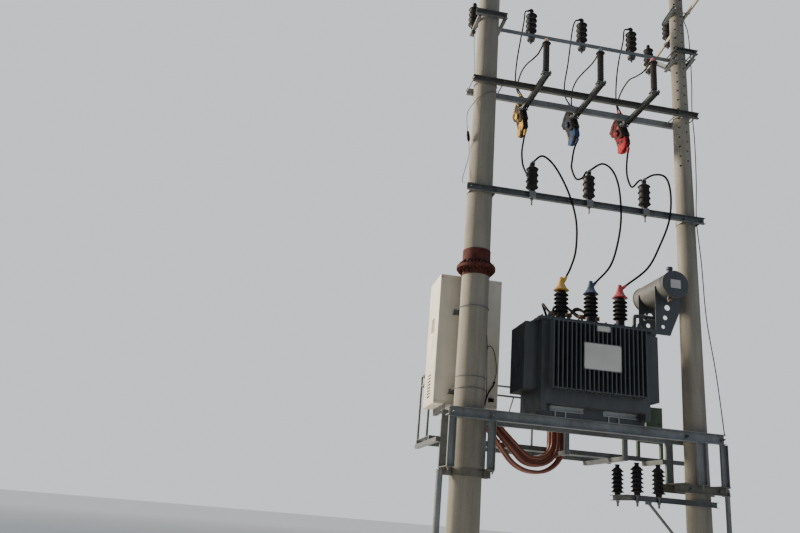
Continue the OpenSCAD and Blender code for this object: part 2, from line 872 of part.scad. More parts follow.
oil_pipe_r = 24;
oil_pipe_x = cons_x - 370;
oil_pipe_y = -60;
oil_pipe_z = lid_z + 233;
module tank_fittings() {
    color("gray") {
        // Filler neck and cap on top of the conservator, and the drain below it.
        difference() {
            union() {
                translate([cons_x - 36, -conservator_l / 2 + 60, cons_z])
                    cylinder(r = 26, h = 190);
                translate([cons_x - 36, -conservator_l / 2 + 60, cons_z + 186])
                    cylinder(r = 38, h = 34);
                translate([cons_x - 60, -conservator_l / 2 + 50, cons_z - 215])
                    cylinder(r = 16, h = 190);
            }
            translate([cons_x, conservator_l / 2, cons_z])
                rotate([90, 0, 0])
                    cylinder(d = conservator_d - 2 * cons_rim + 2 * fit, h = conservator_l, $fn = 72);
        }
        // Oil pipe from the lid up and across into the conservator.
        translate([oil_pipe_x, oil_pipe_y, lid_z])
            cylinder(r = oil_pipe_r, h = oil_pipe_z - lid_z);
        translate([oil_pipe_x, oil_pipe_y, lid_z])
            cylinder(r = 45, h = 14);
        translate([oil_pipe_x, oil_pipe_y, oil_pipe_z])
            sphere(r = oil_pipe_r);
        rod_x(oil_pipe_y, oil_pipe_z, oil_pipe_x, cons_x - 20, oil_pipe_r);
        translate([cons_x - 20, oil_pipe_y, oil_pipe_z])
            sphere(r = oil_pipe_r);
        difference() {
            translate([cons_x - 20, oil_pipe_y, oil_pipe_z])
                cylinder(r = oil_pipe_r, h = 240);
            translate([cons_x, conservator_l / 2, cons_z])
                rotate([90, 0, 0])
                    cylinder(d = conservator_d - 2 * cons_rim + 2 * fit, h = conservator_l, $fn = 72);
        }
    }
}

name_plate_t = 3;
module blank_plates() {
    face_y = -tank_w / 2 - fin_depth - name_plate_t;
    color("white") {
        translate([tank_x - 198, face_y, fin_low_z + 240])
            cube([440, name_plate_t, 302]);
        translate([tank_x - 48, face_y, fin_low_z + 677])
            cube([164, name_plate_t, 72]);
    }
}

/* Cabinet */
cab_x = -362;
cab_y = 232;
cab_z = beam_z + 73;
cab_wall = 20;
module cabinet() {
    color("linen")
        difference() {
            translate([cab_x, cab_y, cab_z])
                cube([cabinet_w, cabinet_d, cabinet_h]);
            translate([cab_x + cab_wall, cab_y + cab_wall, cab_z + cab_wall])
                cube([cabinet_w - 2 * cab_wall, cabinet_d, cabinet_h - 2 * cab_wall]);
        }
}

door_t = 22;
door_gap = 1;
module cabinet_doors() {
    color("linen")
        for (s = [0, 1])
            translate([cab_x + s * cabinet_w / 2 + door_gap, cab_y + cabinet_d, cab_z + door_gap])
                cube([cabinet_w / 2 - 2 * door_gap, door_t, cabinet_h - 2 * door_gap]);
}

bearer_w = 50;
band_heights = [cab_z + 0.076 * cabinet_h, cab_z + 0.683 * cabinet_h];
module cabinet_brackets() {
    color("gray") {
        // Cross pieces between the pole and the cabinet, each with a band round the pole.
        for (z = band_heights) {
            translate([-200, left_r(z) + fit, z])
                cube([400, cab_y - left_r(z) - fit, strap_w]);
            translate([0, 0, z])
                mirror([0, 1, 0])
                    strap(left_r(z) + fit, left_r(z) + fit + 5, strap_w);
        }
        // Bearers from the back beam to the far side of the cabinet's floor.
        for (x = [-240, 130])
            translate([x, beam_y, beam_z])
                cube([bearer_w, cab_y + cabinet_d - beam_y, cab_z - beam_z]);
    }
}

/* Walkway behind the poles */
walk_z = beam_z - 245;
walk_near = 620;
walk_far = 1400;
walk_left = -300;
walk_right = 2300;
walk_bar = 50;
floor_t = 5;
walk_arms = [[-strut_x - strut_w / 2 - walk_bar, walk_far], [strut_x + strut_w / 2, walk_far], [rear_strut_x - strut_w / 2 - walk_bar, walk_near + walk_bar]];
hanger_x = [1215, 1930];
module walkway_frame() {
    low = walk_z - floor_t - 2 * walk_bar;
    color("gray") {
        translate([walk_left, walk_near, walk_z - floor_t - walk_bar])
            cube([pole_gap + 240 - walk_left, walk_bar, walk_bar]);
        translate([walk_left, walk_far - walk_bar, walk_z - floor_t - walk_bar])
            cube([walk_right - walk_left, walk_bar, walk_bar]);
        for (a = walk_arms)
            translate([a[0], beam_y, low])
                cube([walk_bar, a[1] - beam_y, walk_bar]);
        for (x = hanger_x) {
            translate([x, beam_y + beam_d, low])
                cube([walk_bar, walk_far - beam_y - beam_d, walk_bar]);
            translate([x, beam_y + beam_d, low])
                cube([walk_bar, walk_bar, beam_z - 20 - low]);
        }
    }
}

module walkway_floor() {
    color("silver")
        translate([walk_left, walk_near, walk_z - floor_t])
            cube([walk_right - walk_left, walk_far - walk_near, floor_t]);
}

rail_r = 14;
post_r = 16;
rail_heights = [walk_z + 680, walk_z + 804];
rail_right = 1438;
// The end rail starts clear of the cabinet's doors.
rail_near = cab_y + cabinet_d + door_t + 40;
rail_posts = [[walk_left + 16, rail_near], [walk_left + 16, walk_far - 16], [430, walk_far - 16],
    [1219, walk_far - 16], [rail_right, walk_far - 16]];
module walkway_rail() {
    color("gray") {
        for (p = rail_posts)
            translate([p[0], p[1], walk_z])
                cylinder(r = post_r, h = rail_heights[1] - walk_z);
        for (z = rail_heights) {
            rod_x(walk_far - 16, z, walk_left + 16, rail_right, rail_r);
            rod_y(walk_left + 16, z, rail_near, walk_far - 16, rail_r);
        }
        // Slanting stay of the rail.
        leg([960, walk_far - 16, rail_heights[0]], [760, walk_far - 16, walk_z + 12], 10);
        translate([760, walk_far - 16, walk_z])
            cylinder(r = 14, h = 16);
    }
}

panel_x = 2392;
panel_low_z = walk_z + 207;
panel_h = 390;
module side_box() {
    color("darkolivegreen") {
        translate([panel_x, 560, panel_low_z])
            cube([208, 90, panel_h]);
        // Posts and cross bars of its frame.
        for (x = [2300, 2602])
            translate([x, walk_near, walk_z - floor_t])
                cube([36, 40, x > 2400 ? 620 : 240]);
        translate([2300, walk_near, panel_low_z - 36])
            cube([338, 40, 36]);
        translate([panel_x, walk_near, panel_low_z + panel_h - 2])
            cube([240, 40, 16]);
    }
}

/* Low arm on the right pole */
low_arm_z = beam_z - 740;
low_arm_h = 60;
low_arm_y = right_r(low_arm_z - low_arm_h) + fit;
low_arm_left = pole_gap - 860;
low_arm_l = 1000;
side_arm_far = 330;
low_spots = [[2140, -low_arm_y - 22], [1888, -low_arm_y - 22], [1862, 260]];
brace_r = 16;
brace_foot = [pole_gap - 140, low_arm_z - 660];
brace_head = [low_arm_left + 170, low_arm_z - low_arm_h];
brace_band_z = brace_foot[1] - 30;
module low_arm() {
    color("gray") {
        difference() {
            union() {
                translate([low_arm_left, -low_arm_y, low_arm_z])
                    channel_x(low_arm_l, low_arm_h, 45, arm_wall);
                translate([low_arm_left, -low_arm_y - 2, low_arm_z])
                    mirror([0, 1, 0])
                        rotate([0, 0, -90])
                            channel_x(side_arm_far + low_arm_y, low_arm_h, 45, arm_wall);
            }
            for (p = low_spots)
                translate([p[0], p[1], low_arm_z - low_arm_h - 1])
                    cylinder(r = stud_r + fit, h = low_arm_h + 2);
        }
        translate([pole_gap, 0, low_arm_z - low_arm_h / 2 - strap_w / 2])
            strap(low_arm_y, low_arm_y, strap_w);
        // Knee brace from under the arm down to a band on the pole.
        leg([brace_head[0], -low_arm_y - 20, brace_head[1]], [brace_foot[0], -low_arm_y - 20, brace_foot[1]], brace_r);
        translate([pole_gap, 0, brace_band_z])
            strap(right_r(brace_band_z) + fit, low_arm_y + 6, strap_w);
        translate([brace_foot[0] - 30, -low_arm_y - 40, brace_band_z])
            cube([340, 34, strap_w]);
        translate([brace_head[0] - 25, -low_arm_y - 40, brace_head[1] - 30])
            cube([60, 34, 30]);
    }
}

low_sheds = 6;
low_pitch = 46;
module low_insulators() {
    color("dimgray")
        for (p = low_spots)
            translate([p[0], p[1], low_arm_z]) {
                cylinder(r = 34, h = 26);
                translate([0, 0, 26])
                    shed_column(38, 72, low_sheds, low_pitch);
                translate([0, 0, 26 + low_sheds * low_pitch])
                    cylinder(r = 30, h = 40);
                translate([0, 0, -low_arm_h - 60])
                    cylinder(r = stud_r, h = low_arm_h + 62);
            }
}

left_pipe_off = 300;
left_pipe_y = -60;
left_pipe_d = 76;
right_pipe_off = 335;
right_pipe_d = 60;
module down_pipes() {
    color("gray") {
        translate([-left_pipe_off, left_pipe_y, 0])
            cylinder(d = left_pipe_d, h = strut_low_z - 40);
        translate([pole_gap + right_pipe_off, -40, 0])
            cylinder(d = right_pipe_d, h = right_low_z - 20);
    }
}

/* Ducts and tails on the low voltage side */
duct_r = 21;
tail_r = 16;
duct_low_x = 952;
duct_top_z = lid_z - 17;
tail_y = lv_y + 8 + fit;
// Each duct: start x in the cabinet's floor, lean from vertical, lowest z, right leg x, plane y,
// and its tail's end x and sideways swing.
near_ducts = [
    [238, 40, beam_z - 555, 1314, 500, 1556, 80], [306, 45, beam_z - 475, 1241, 500, 1378, -20],
    [371, 48, beam_z - 396, 1168, 500, 1045, -300]];
far_ducts = [
    [340, 47, beam_z - 435, 1205, 546, 1246, 0],
    [238, 40, beam_z - 555, 1314, 592, 1602, 120], [306, 45, beam_z - 475, 1241, 592, 1424, -20],
    [371, 48, beam_z - 396, 1168, 592, 1200, -20]];
duct_flat = 12;
duct_neck = 4;
neck_bend = 30;
left_x = duct_low_x - duct_flat;
right_x = duct_low_x + duct_flat;
duct_sides = 10;
function neck_x(d) = d[0] + neck_bend * (1 - cos(d[1]));
function neck_z(d) = cab_z - duct_neck - neck_bend * sin(d[1]);
// Radius of the bend that takes the leaning leg round to level at the lowest point.
function duct_bend(d) = (cos(d[1]) * (left_x - neck_x(d)) - sin(d[1]) * (neck_z(d) - d[2])) / (1 - sin(d[1]));
function arc(cx, cz, y, r, from, to, n) =
    [for (i = [0:n]) let (a = from + (to - from) * i / n) [cx + r * cos(a), y, cz + r * sin(a)]];
// Down from the cabinet's floor, round the low loop and up behind the tank.
function duct_route(d) = concat([[d[0], d[4], cab_z]],
    arc(d[0] + neck_bend, cab_z - duct_neck, d[4], neck_bend, 180, 180 + d[1], 4),
    arc(left_x, d[2] + duct_bend(d), d[4], duct_bend(d), 180 + d[1], 270, 6),
    arc(right_x, d[2] + d[3] - right_x, d[4], d[3] - right_x, 270, 360, 8),
    [[d[3], d[4], duct_top_z]]);

// Round bar between two points.
module leg(p, q, r) {
    v = q - p;
    translate(p)
        rotate([0, acos(v[2] / norm(v)), atan2(v[1], v[0])])
            cylinder(r = r, h = norm(v));
}

// Short socket that starts where a cord ends and points away from the cord's next point.
module stub(p, q, r, len) {
    leg(p, p + (p - q) * len / norm(p - q), r);
}

module low_ducts() {
    color("sienna")
        for (d = near_ducts)
            tube(duct_route(d), 2 * duct_r, duct_sides);
}

module back_ducts() {
    color("sienna")
        for (d = far_ducts)
            tube(duct_route(d), 2 * duct_r, duct_sides);
}

// Point of a cubic curve with four handles.
function on_curve(p, t) = pow(1 - t, 3) * p[0] + 3 * t * pow(1 - t, 2) * p[1] + 3 * t * t * (1 - t) * p[2] + pow(t, 3) * p[3];
tail_start = 20;
tail_crest = lid_z + 723;
// From a duct's end in a hump over the lid to the back of a palm.
function tail_route(d) = let (from = [d[3], d[4], duct_top_z + tail_start], to = [d[5], tail_y, lv_palm_z],
        handles = [from, [from[0] + d[6], from[1], tail_crest], [to[0], to[1] + 200, to[2]], to])
    concat([[d[3], d[4], duct_top_z]], [for (i = [0:9]) on_curve(handles, i / 9)]);

module low_tails() {
    color("black")
        for (d = concat(near_ducts, far_ducts))
            tube(tail_route(d), 2 * tail_r, sides);
}

/* Cords */
jumper_d = 26;
lead_d = 20;
sides = 8;
jumpers = [
    [[600, 172, 6430], [578, 160, 6290], [545, 95, 6110], [540, 20, 5900], [573, -66, 5740], [583, -98, 5795],
        [592, -140, 5859], [604, -182, 5861], [720, -196, 5955], [880, -205, 5825], [1050, -216, 5500],
        [1148, -214, 5150], [1150, -206, 4790], [1092, -200, 4562], [1030, -200, 4425]],
    [[1306, 172, 6430], [1262, 150, 6300], [1215, 90, 6110], [1180, 15, 5960], [1205, -62, 5790], [1262, -118, 5780],
        [1306, -138, 5859], [1330, -182, 5861], [1492, -196, 5978], [1625, -205, 5900], [1702, -215, 5670],
        [1722, -216, 5275], [1674, -208, 4925], [1580, -200, 4635], [1395, -200, 4406]],
    [[2024, 172, 6420], [1992, 140, 6275], [1955, 80, 6090], [1932, 5, 5930], [1950, -66, 5790], [2012, -130, 5859],
        [2056, -182, 5861], [2172, -196, 5935], [2305, -200, 5945], [2372, -206, 5845], [2388, -215, 5610],
        [2350, -216, 5325], [2230, -206, 5005], [2060, -200, 4680], [1765, -200, 4412]]];
lead_tops = [
    [[600, 178, 8353], [560, 190, 8335], [552, 205, 8190], [527, 250, 7925], [504, 305, 7630], [507, 362, 7380],
        [540, 395, 7230], [580, 397, 7143]],
    [[1325, 178, 8353], [1285, 190, 8335], [1255, 222, 8180], [1212, 255, 7670], [1187, 310, 7366],
        [1225, 365, 7218], [1288, 397, 7143]],
    [[2055, 178, 8353], [2012, 190, 8335], [1996, 200, 8149], [1959, 255, 7883], [1944, 310, 7591],
        [1959, 365, 7308], [1998, 397, 7143]]];
lead_arresters = [
    [[592, -528, 7358], [580, -492, 7325], [566, -430, 7283], [557, -369, 7268], [540, -237, 7285], [510, -106, 7293],
        [488, 26, 7269], [492, 157, 7228], [510, 270, 7180], [596, 353, 7123]],
    [[1302, -527, 7358], [1306, -470, 7325], [1308, -347, 7317], [1307, -193, 7334], [1290, -40, 7338],
        [1271, 113, 7315], [1278, 267, 7247], [1304, 353, 7123]],
    [[2006, -528, 7358], [1996, -476, 7322], [1980, -369, 7293], [1950, -237, 7303], [1932, -106, 7337],
        [1926, 26, 7325], [1917, 157, 7255], [1943, 289, 7182], [2012, 353, 7123]]];

function last(p) = p[len(p) - 1];
function before_last(p) = p[len(p) - 2];
function unit(v) = v / norm(v);
// Direction of the route at point i.
function route_dir(p, i) = unit((i == 0) ? p[1] - p[0] : (i == len(p) - 1) ? p[i] - p[i - 1]
    : unit(p[i + 1] - p[i]) + unit(p[i] - p[i - 1]));

module tube(p, d, sides) {
    n = len(p);
    rings = [for (i = [0:n - 1])
        let (t = route_dir(p, i), a = unit(cross(t, [0.31, 1, 0.17])), b = cross(t, a))
            [for (k = [0:sides - 1]) p[i] + d / 2 * (cos(k * 360 / sides) * a + sin(k * 360 / sides) * b)]];
    points = [for (r = rings) each r];
    walls = [for (i = [0:n - 2], k = [0:sides - 1])
        [i * sides + k, i * sides + (k + 1) % sides, (i + 1) * sides + (k + 1) % sides, (i + 1) * sides + k]];
    low_end = [for (k = [0:sides - 1]) sides - 1 - k];
    high_end = [for (k = [0:sides - 1]) (n - 1) * sides + k];
    polyhedron(points = points, faces = concat([low_end, high_end], walls), convexity = 6);
}

module high_jumpers() {
    color("black")
        for (p = jumpers)
            tube(p, jumper_d, sides);
}

module drop_leads() {
    color("black") {
        for (p = lead_tops)
            tube(p, lead_d, sides);
        for (p = lead_arresters)
            tube(p, lead_d, sides);
    }
}

left_pole_lower();
left_pole_upper();
pole_joint();
right_pole();
top_arm();
top_arm_clamps();
line_insulators();
line_arm();
line_arm_clamps();
fuse_arms();
arm_rods();
mount_bars();
arresters();
cutouts();
caps_yellow();
caps_blue();
caps_red();
post_arm();
arm_straps();
post_insulators();
platform_beams();
beam_rods();
pole_struts();
pole_collars();
base_frame();
foot_bars();
tank();
long_fins();
end_fins();
lid();
high_bushings();
low_bushings();
low_tails();
conservator();
conservator_plates();
tank_fittings();
blank_plates();
cabinet();
cabinet_doors();
cabinet_brackets();
low_ducts();
back_ducts();
walkway_frame();
walkway_floor();
walkway_rail();
side_box();
low_arm();
low_insulators();
down_pipes();
high_jumpers();
drop_leads();
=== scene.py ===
"""Details and finishes of a pole mounted transformer, modelled round its fixed frame.

Metres. X runs along the crossarms, Y away from the viewer, Z up; the origin is the left pole's foot.
"""

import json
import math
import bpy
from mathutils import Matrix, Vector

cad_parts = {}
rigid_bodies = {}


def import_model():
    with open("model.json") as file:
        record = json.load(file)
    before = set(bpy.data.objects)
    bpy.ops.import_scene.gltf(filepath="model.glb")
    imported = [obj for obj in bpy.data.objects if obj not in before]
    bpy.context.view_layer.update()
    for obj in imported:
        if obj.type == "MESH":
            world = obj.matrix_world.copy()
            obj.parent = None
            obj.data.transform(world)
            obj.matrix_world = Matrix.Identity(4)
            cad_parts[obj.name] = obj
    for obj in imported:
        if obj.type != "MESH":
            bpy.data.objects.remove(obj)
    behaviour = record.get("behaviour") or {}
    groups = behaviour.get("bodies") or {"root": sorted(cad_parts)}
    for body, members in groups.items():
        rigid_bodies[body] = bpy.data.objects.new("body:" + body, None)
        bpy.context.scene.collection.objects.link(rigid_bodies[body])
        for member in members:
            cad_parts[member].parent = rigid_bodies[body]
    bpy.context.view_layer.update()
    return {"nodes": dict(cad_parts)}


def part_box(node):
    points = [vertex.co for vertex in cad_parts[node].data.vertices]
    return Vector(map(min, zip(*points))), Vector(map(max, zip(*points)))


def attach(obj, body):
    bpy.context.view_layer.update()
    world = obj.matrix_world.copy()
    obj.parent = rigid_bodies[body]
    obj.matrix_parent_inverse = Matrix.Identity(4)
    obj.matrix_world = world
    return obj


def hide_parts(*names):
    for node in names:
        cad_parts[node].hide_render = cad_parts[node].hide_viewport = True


bl_info = {
    "name": "Pole mounted transformer",
    "version": (1, 0, 0),
    "blender": (4, 5, 0),
    "location": "View3D > Sidebar > Transformer",
    "description": "Models the details and finishes of a pole mounted transformer",
    "category": "Object",
}

import bpy
from mathutils import Matrix, Vector

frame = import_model()
NODES = frame["nodes"]

# Sizes and places that the part's own source sets
POLE_GAP = 2.7
LEFT_R = 0.1895
RIGHT_R = 0.1493
TAPER = 0.00667
POLE_TOP = 9.1
JOINT_Z = 4.445
FLANGE = 0.018
LINE_ARM_TURN = math.radians(-5)
FUSE_X = 1.312
FUSE_GAP = 0.708
ARRESTER_Y = -0.560
ARRESTER_Z = 6.875
JUMPER_TOP = 5.861
TANK_X = 1.338
LID_Z = 3.877
HIGH_GAP, HIGH_Y = 0.362, -0.200
LOW_GAP, LOW_Y = 0.178, 0.200
DRUM_X, DRUM_Z = 2.314, LID_Z + 0.589
CABINET_LOW, CABINET_HIGH = (-0.362, 0.232, 2.873), (0.394, 0.772, 4.413)
CABINET_Z = CABINET_LOW[2]
BEAM_Z = 2.8
WALK_LEFT, WALK_RIGHT, WALK_NEAR, WALK_FAR, WALK_Z = -0.300, 2.300, 0.620, 1.400, 2.555
FIT = 0.0003

PHASES = (-1, 0, 1)


def left_r(z):
    """Radius of the left pole at a height."""
    return LEFT_R - TAPER * z


def right_r(z):
    """Radius of the right pole at a height."""
    return RIGHT_R - TAPER * z


def phase_x(k):
    """Where a phase's cutout and arrester stand along the arms."""
    return FUSE_X + k * FUSE_GAP


# Sizes, colours and camera that a user would change


class TransformerSizes(bpy.types.PropertyGroup):
    bolt_r: bpy.props.FloatProperty(
        name="Bolt size", description="Half the width of the usual nut across its corners",
        default=0.0155, unit="LENGTH")
    hole_r: bpy.props.FloatProperty(
        name="Pole hole", description="Radius of the cast holes in the right pole", default=0.0145,
        unit="LENGTH")
    hole_pitch: bpy.props.FloatProperty(
        name="Hole pitch", description="Height between neighbouring cast holes", default=0.14,
        unit="LENGTH")
    mesh_pitch: bpy.props.FloatProperty(
        name="Floor mesh", description="Width of one opening of the walkway's expanded metal",
        default=0.075, unit="LENGTH")


class TransformerColours(bpy.types.PropertyGroup):
    concrete: bpy.props.FloatVectorProperty(
        name="Concrete", description="Colour of the poles", subtype="COLOR", size=3,
        default=(0.275, 0.262, 0.225))
    red_oxide: bpy.props.FloatVectorProperty(
        name="Red oxide", description="Paint of the pole joint", subtype="COLOR", size=3,
        default=(0.060, 0.020, 0.018))
    steel: bpy.props.FloatVectorProperty(
        name="Galvanised steel", description="Colour of the arms and beams", subtype="COLOR", size=3,
        default=(0.15, 0.165, 0.175))
    tank: bpy.props.FloatVectorProperty(
        name="Tank paint", description="Colour of the tank and its fins", subtype="COLOR", size=3,
        default=(0.034, 0.041, 0.048))
    cabinet: bpy.props.FloatVectorProperty(
        name="Cabinet paint", description="Colour of the switch cabinet", subtype="COLOR", size=3,
        default=(0.56, 0.53, 0.46))
    duct: bpy.props.FloatVectorProperty(
        name="Duct plastic", description="Colour of the cable ducts", subtype="COLOR", size=3,
        default=(0.145, 0.040, 0.025))
    first_phase: bpy.props.FloatVectorProperty(
        name="First phase", description="Covers of the left phase", subtype="COLOR", size=3,
        default=(0.46, 0.26, 0.035))
    second_phase: bpy.props.FloatVectorProperty(
        name="Second phase", description="Covers of the middle phase", subtype="COLOR", size=3,
        default=(0.020, 0.038, 0.080))
    third_phase: bpy.props.FloatVectorProperty(
        name="Third phase", description="Covers of the right phase", subtype="COLOR", size=3,
        default=(0.34, 0.028, 0.038))


class TransformerCamera(bpy.types.PropertyGroup):
    lens: bpy.props.FloatProperty(
        name="Lens", description="Focal length on a 36 mm wide frame", default=33.03, unit="CAMERA")
    place: bpy.props.FloatVectorProperty(
        name="Place", description="Where the camera stands", subtype="XYZ", size=3,
        default=(-2.0705, -7.9447, 1.65))
    heading: bpy.props.FloatProperty(
        name="Heading", description="Turn to the right of straight ahead", default=math.radians(8.368),
        subtype="ANGLE")
    pitch: bpy.props.FloatProperty(
        name="Pitch", description="Tilt upwards", default=math.radians(18.609), subtype="ANGLE")
    roll: bpy.props.FloatProperty(
        name="Roll", description="Turn about the line of sight", default=math.radians(4.945),
        subtype="ANGLE")


# Modelling helpers


def deselect():
    for obj in bpy.context.view_layer.objects.selected:
        obj.select_set(False)


def pick(piece):
    """Selects one piece alone and makes it active."""
    deselect()
    piece.select_set(True)
    bpy.context.view_layer.objects.active = piece


def settle(piece):
    """Puts the object's place into its mesh."""
    pick(piece)
    bpy.ops.object.transform_apply(location=True, rotation=True, scale=True)
    return piece


def modify(piece, kind, **values):
    """Adds one modifier and applies it."""
    pick(piece)
    bpy.ops.object.modifier_add(type=kind)
    modifier = piece.modifiers[-1]
    for key, value in values.items():
        setattr(modifier, key, value)
    bpy.ops.object.modifier_apply(modifier=modifier.name)
    return piece


def outward(piece, merge=1e-6):
    """Merges doubles, then turns every face outwards."""
    pick(piece)
    bpy.ops.object.mode_set(mode="EDIT")
    bpy.ops.mesh.select_all(action="SELECT")
    bpy.ops.mesh.remove_doubles(threshold=merge)
    bpy.ops.mesh.normals_make_consistent(inside=False)
    bpy.ops.object.mode_set(mode="OBJECT")
    return piece


def block(low, high, bevel=0.0, segments=1):
    """A box between two corners with its edges rounded off."""
    deselect()
    bpy.ops.mesh.primitive_cube_add(
        size=1, location=[(a + b) / 2 for a, b in zip(low, high)], scale=[b - a for a, b in zip(low, high)])
    piece = settle(bpy.context.object)
    if bevel:
        modify(piece, "BEVEL", width=bevel, segments=segments, limit_method="NONE")
    return piece


def turned(profile, sides=28):
    """A solid of revolution about Z, drawn up ring by ring from (radius, height) pairs."""
    radius, height = profile[0]
    deselect()
    bpy.ops.mesh.primitive_circle_add(vertices=sides, radius=radius, fill_type="NGON", location=(0, 0, height))
    piece = settle(bpy.context.object)
    bpy.ops.object.mode_set(mode="EDIT")
    bpy.ops.mesh.select_all(action="SELECT")
    for next_radius, next_height in profile[1:]:
        bpy.ops.mesh.extrude_region_move(TRANSFORM_OT_translate={"value": (0, 0, next_height - height)})
        share = next_radius / radius
        if abs(share - 1) > 1e-6:
            bpy.ops.transform.resize(value=(share, share, 1), center_override=(0, 0, next_height))
        radius, height = next_radius, next_height
    bpy.ops.object.mode_set(mode="OBJECT")
    return outward(piece)


def moved(piece, matrix):
    """Takes a finished piece to its place."""
    piece.matrix_world = matrix @ piece.matrix_world
    return settle(piece)


def at(x, y, z, turn=(0, 0, 0)):
    """Matrix that turns about X, Y and Z and then moves."""
    return (Matrix.Translation((x, y, z)) @ Matrix.Rotation(turn[2], 4, "Z")
            @ Matrix.Rotation(turn[1], 4, "Y") @ Matrix.Rotation(turn[0], 4, "X"))


def along(start, end):
    """Matrix that takes +Z from the origin to the line from start towards end."""
    direction = Vector(end) - Vector(start)
    return Matrix.Translation(start) @ direction.to_track_quat("Z", "Y").to_matrix().to_4x4()


def joined(pieces):
    """One piece made of several."""
    deselect()
    for piece in pieces:
        piece.select_set(True)
    bpy.context.view_layer.objects.active = pieces[0]
    if len(pieces) > 1:
        bpy.ops.object.join()
    return settle(bpy.context.object)


def repeated(piece, places):
    """Copies of a piece, each with its own mesh, joined as one."""
    made = []
    for place in places:
        twin = piece.copy()
        twin.data = piece.data.copy()
        twin.matrix_world = place
        bpy.context.scene.collection.objects.link(twin)
        made.append(twin)
    bpy.data.objects.remove(piece)
    bpy.context.view_layer.update()
    return joined(made)


def round_bar(name, points, radius, resolution):
    """A curve with a round section along points."""
    curve = bpy.data.curves.new(name, "CURVE")
    curve.dimensions = "3D"
    curve.bevel_depth = radius
    curve.bevel_resolution = resolution
    curve.use_fill_caps = True
    spline = curve.splines.new("POLY")
    spline.points.add(len(points) - 1)
    for spot, point in zip(spline.points, points):
        spot.co = (*point, 1)
    piece = bpy.data.objects.new(name, curve)
    bpy.context.scene.collection.objects.link(piece)
    return piece


def pipe(points, radius, resolution=3):
    """A round bar along points, turned into a closed mesh."""
    pick(round_bar("Pipe", points, radius, resolution))
    bpy.ops.object.convert(target="MESH")
    return outward(bpy.context.object, 1e-5)


def smooth_route(points, steps=6):
    """Points of one smooth curve through the given ones."""
    p = [Vector(q) for q in points]
    p = [2 * p[0] - p[1]] + p + [2 * p[-1] - p[-2]]
    route = []
    for a, b, c, d in zip(p, p[1:], p[2:], p[3:]):
        for k in range(steps):
            t = k / steps
            route.append(0.5 * (2 * b + (c - a) * t + (2 * a - 5 * b + 4 * c - d) * t * t
                                + (3 * b - a - 3 * c + d) * t * t * t))
    route.append(p[-2])
    return route


def present(piece, name, look, replaces=(), smooth=35):
    """Names a finished piece, dresses it and lets it ride on the frame."""
    piece.name = name
    piece.data.name = name
    piece.data.materials.clear()
    piece.data.materials.append(LOOKS[look])
    if smooth:
        pick(piece)
        bpy.ops.object.shade_smooth_by_angle(angle=math.radians(smooth))
    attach(piece, "root")
    for node in replaces:
        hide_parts(node)
    return piece


def dress(node, look):
    """Gives a carried-over part its finish."""
    materials = NODES[node].data.materials
    materials.clear()
    materials.append(LOOKS[look])


def soften(node, width, segments=2):
    """Breaks the sharp edges of a carried-over part."""
    modifier = NODES[node].modifiers.new("Edges", "BEVEL")
    modifier.width, modifier.segments = width, segments
    modifier.limit_method, modifier.angle_limit = "ANGLE", math.radians(35)
    modifier.use_clamp_overlap = True


def slab(outline, thick, bevel=0.0, segments=2):
    """A plate drawn point by point in the YZ plane, filled and pulled out along X."""
    deselect()
    bpy.ops.mesh.primitive_plane_add(size=0.001, location=(-thick / 2, *outline[0]))
    piece = settle(bpy.context.object)
    bpy.ops.object.mode_set(mode="EDIT")
    bpy.ops.mesh.select_all(action="SELECT")
    bpy.ops.mesh.merge(type="CENTER")
    for (y0, z0), (y1, z1) in zip(outline, outline[1:]):
        bpy.ops.mesh.extrude_region_move(TRANSFORM_OT_translate={"value": (0, y1 - y0, z1 - z0)})
    bpy.ops.mesh.select_all(action="SELECT")
    bpy.ops.mesh.edge_face_add()
    bpy.ops.mesh.extrude_region_move(TRANSFORM_OT_translate={"value": (thick, 0, 0)})
    bpy.ops.object.mode_set(mode="OBJECT")
    outward(piece)
    if bevel:
        modify(piece, "BEVEL", width=bevel, segments=segments, limit_method="ANGLE", angle_limit=math.radians(25))
    return piece


def crumple(piece, size, depth, cuts=3):
    """Soft folds in a moulded sheet."""
    pick(piece)
    bpy.ops.object.mode_set(mode="EDIT")
    bpy.ops.mesh.select_all(action="SELECT")
    bpy.ops.mesh.quads_convert_to_tris()
    bpy.ops.mesh.subdivide(number_cuts=cuts)
    bpy.ops.object.mode_set(mode="OBJECT")
    folds = bpy.data.textures.new("Folds", "CLOUDS")
    folds.noise_scale = size
    return modify(piece, "DISPLACE", texture=folds, strength=depth, mid_level=0.5, texture_coords="LOCAL")


def cut(piece, tool):
    """Takes one solid out of another."""
    modify(piece, "BOOLEAN", object=tool, operation="DIFFERENCE", solver="EXACT")
    bpy.data.objects.remove(tool)
    return piece


# Turns that take +Z to each side
FRONT = (math.pi / 2, 0, 0)
BACK = (-math.pi / 2, 0, 0)
LEFT = (0, -math.pi / 2, 0)
RIGHT = (0, math.pi / 2, 0)
UP = (0, 0, 0)
DOWN = (math.pi, 0, 0)


def stand(profile, sides, *place):
    """A turned piece taken to its place."""
    return moved(turned(profile, sides), at(*place))


def hoop(radius, wire, count, z, tilt=0):
    """A thin ring round the left pole."""
    deselect()
    bpy.ops.mesh.primitive_torus_add(major_radius=radius, minor_radius=wire, major_segments=count,
                                     minor_segments=8, location=(0, 0, z), rotation=(tilt, 0, 0))
    return settle(bpy.context.object)


def sheds(ring, first, pitch, count):
    """The (radius, height) pairs of one shed, stacked up a number of times."""
    return [(r, first + i * pitch + h) for i in range(count) for r, h in ring]


# Finishes


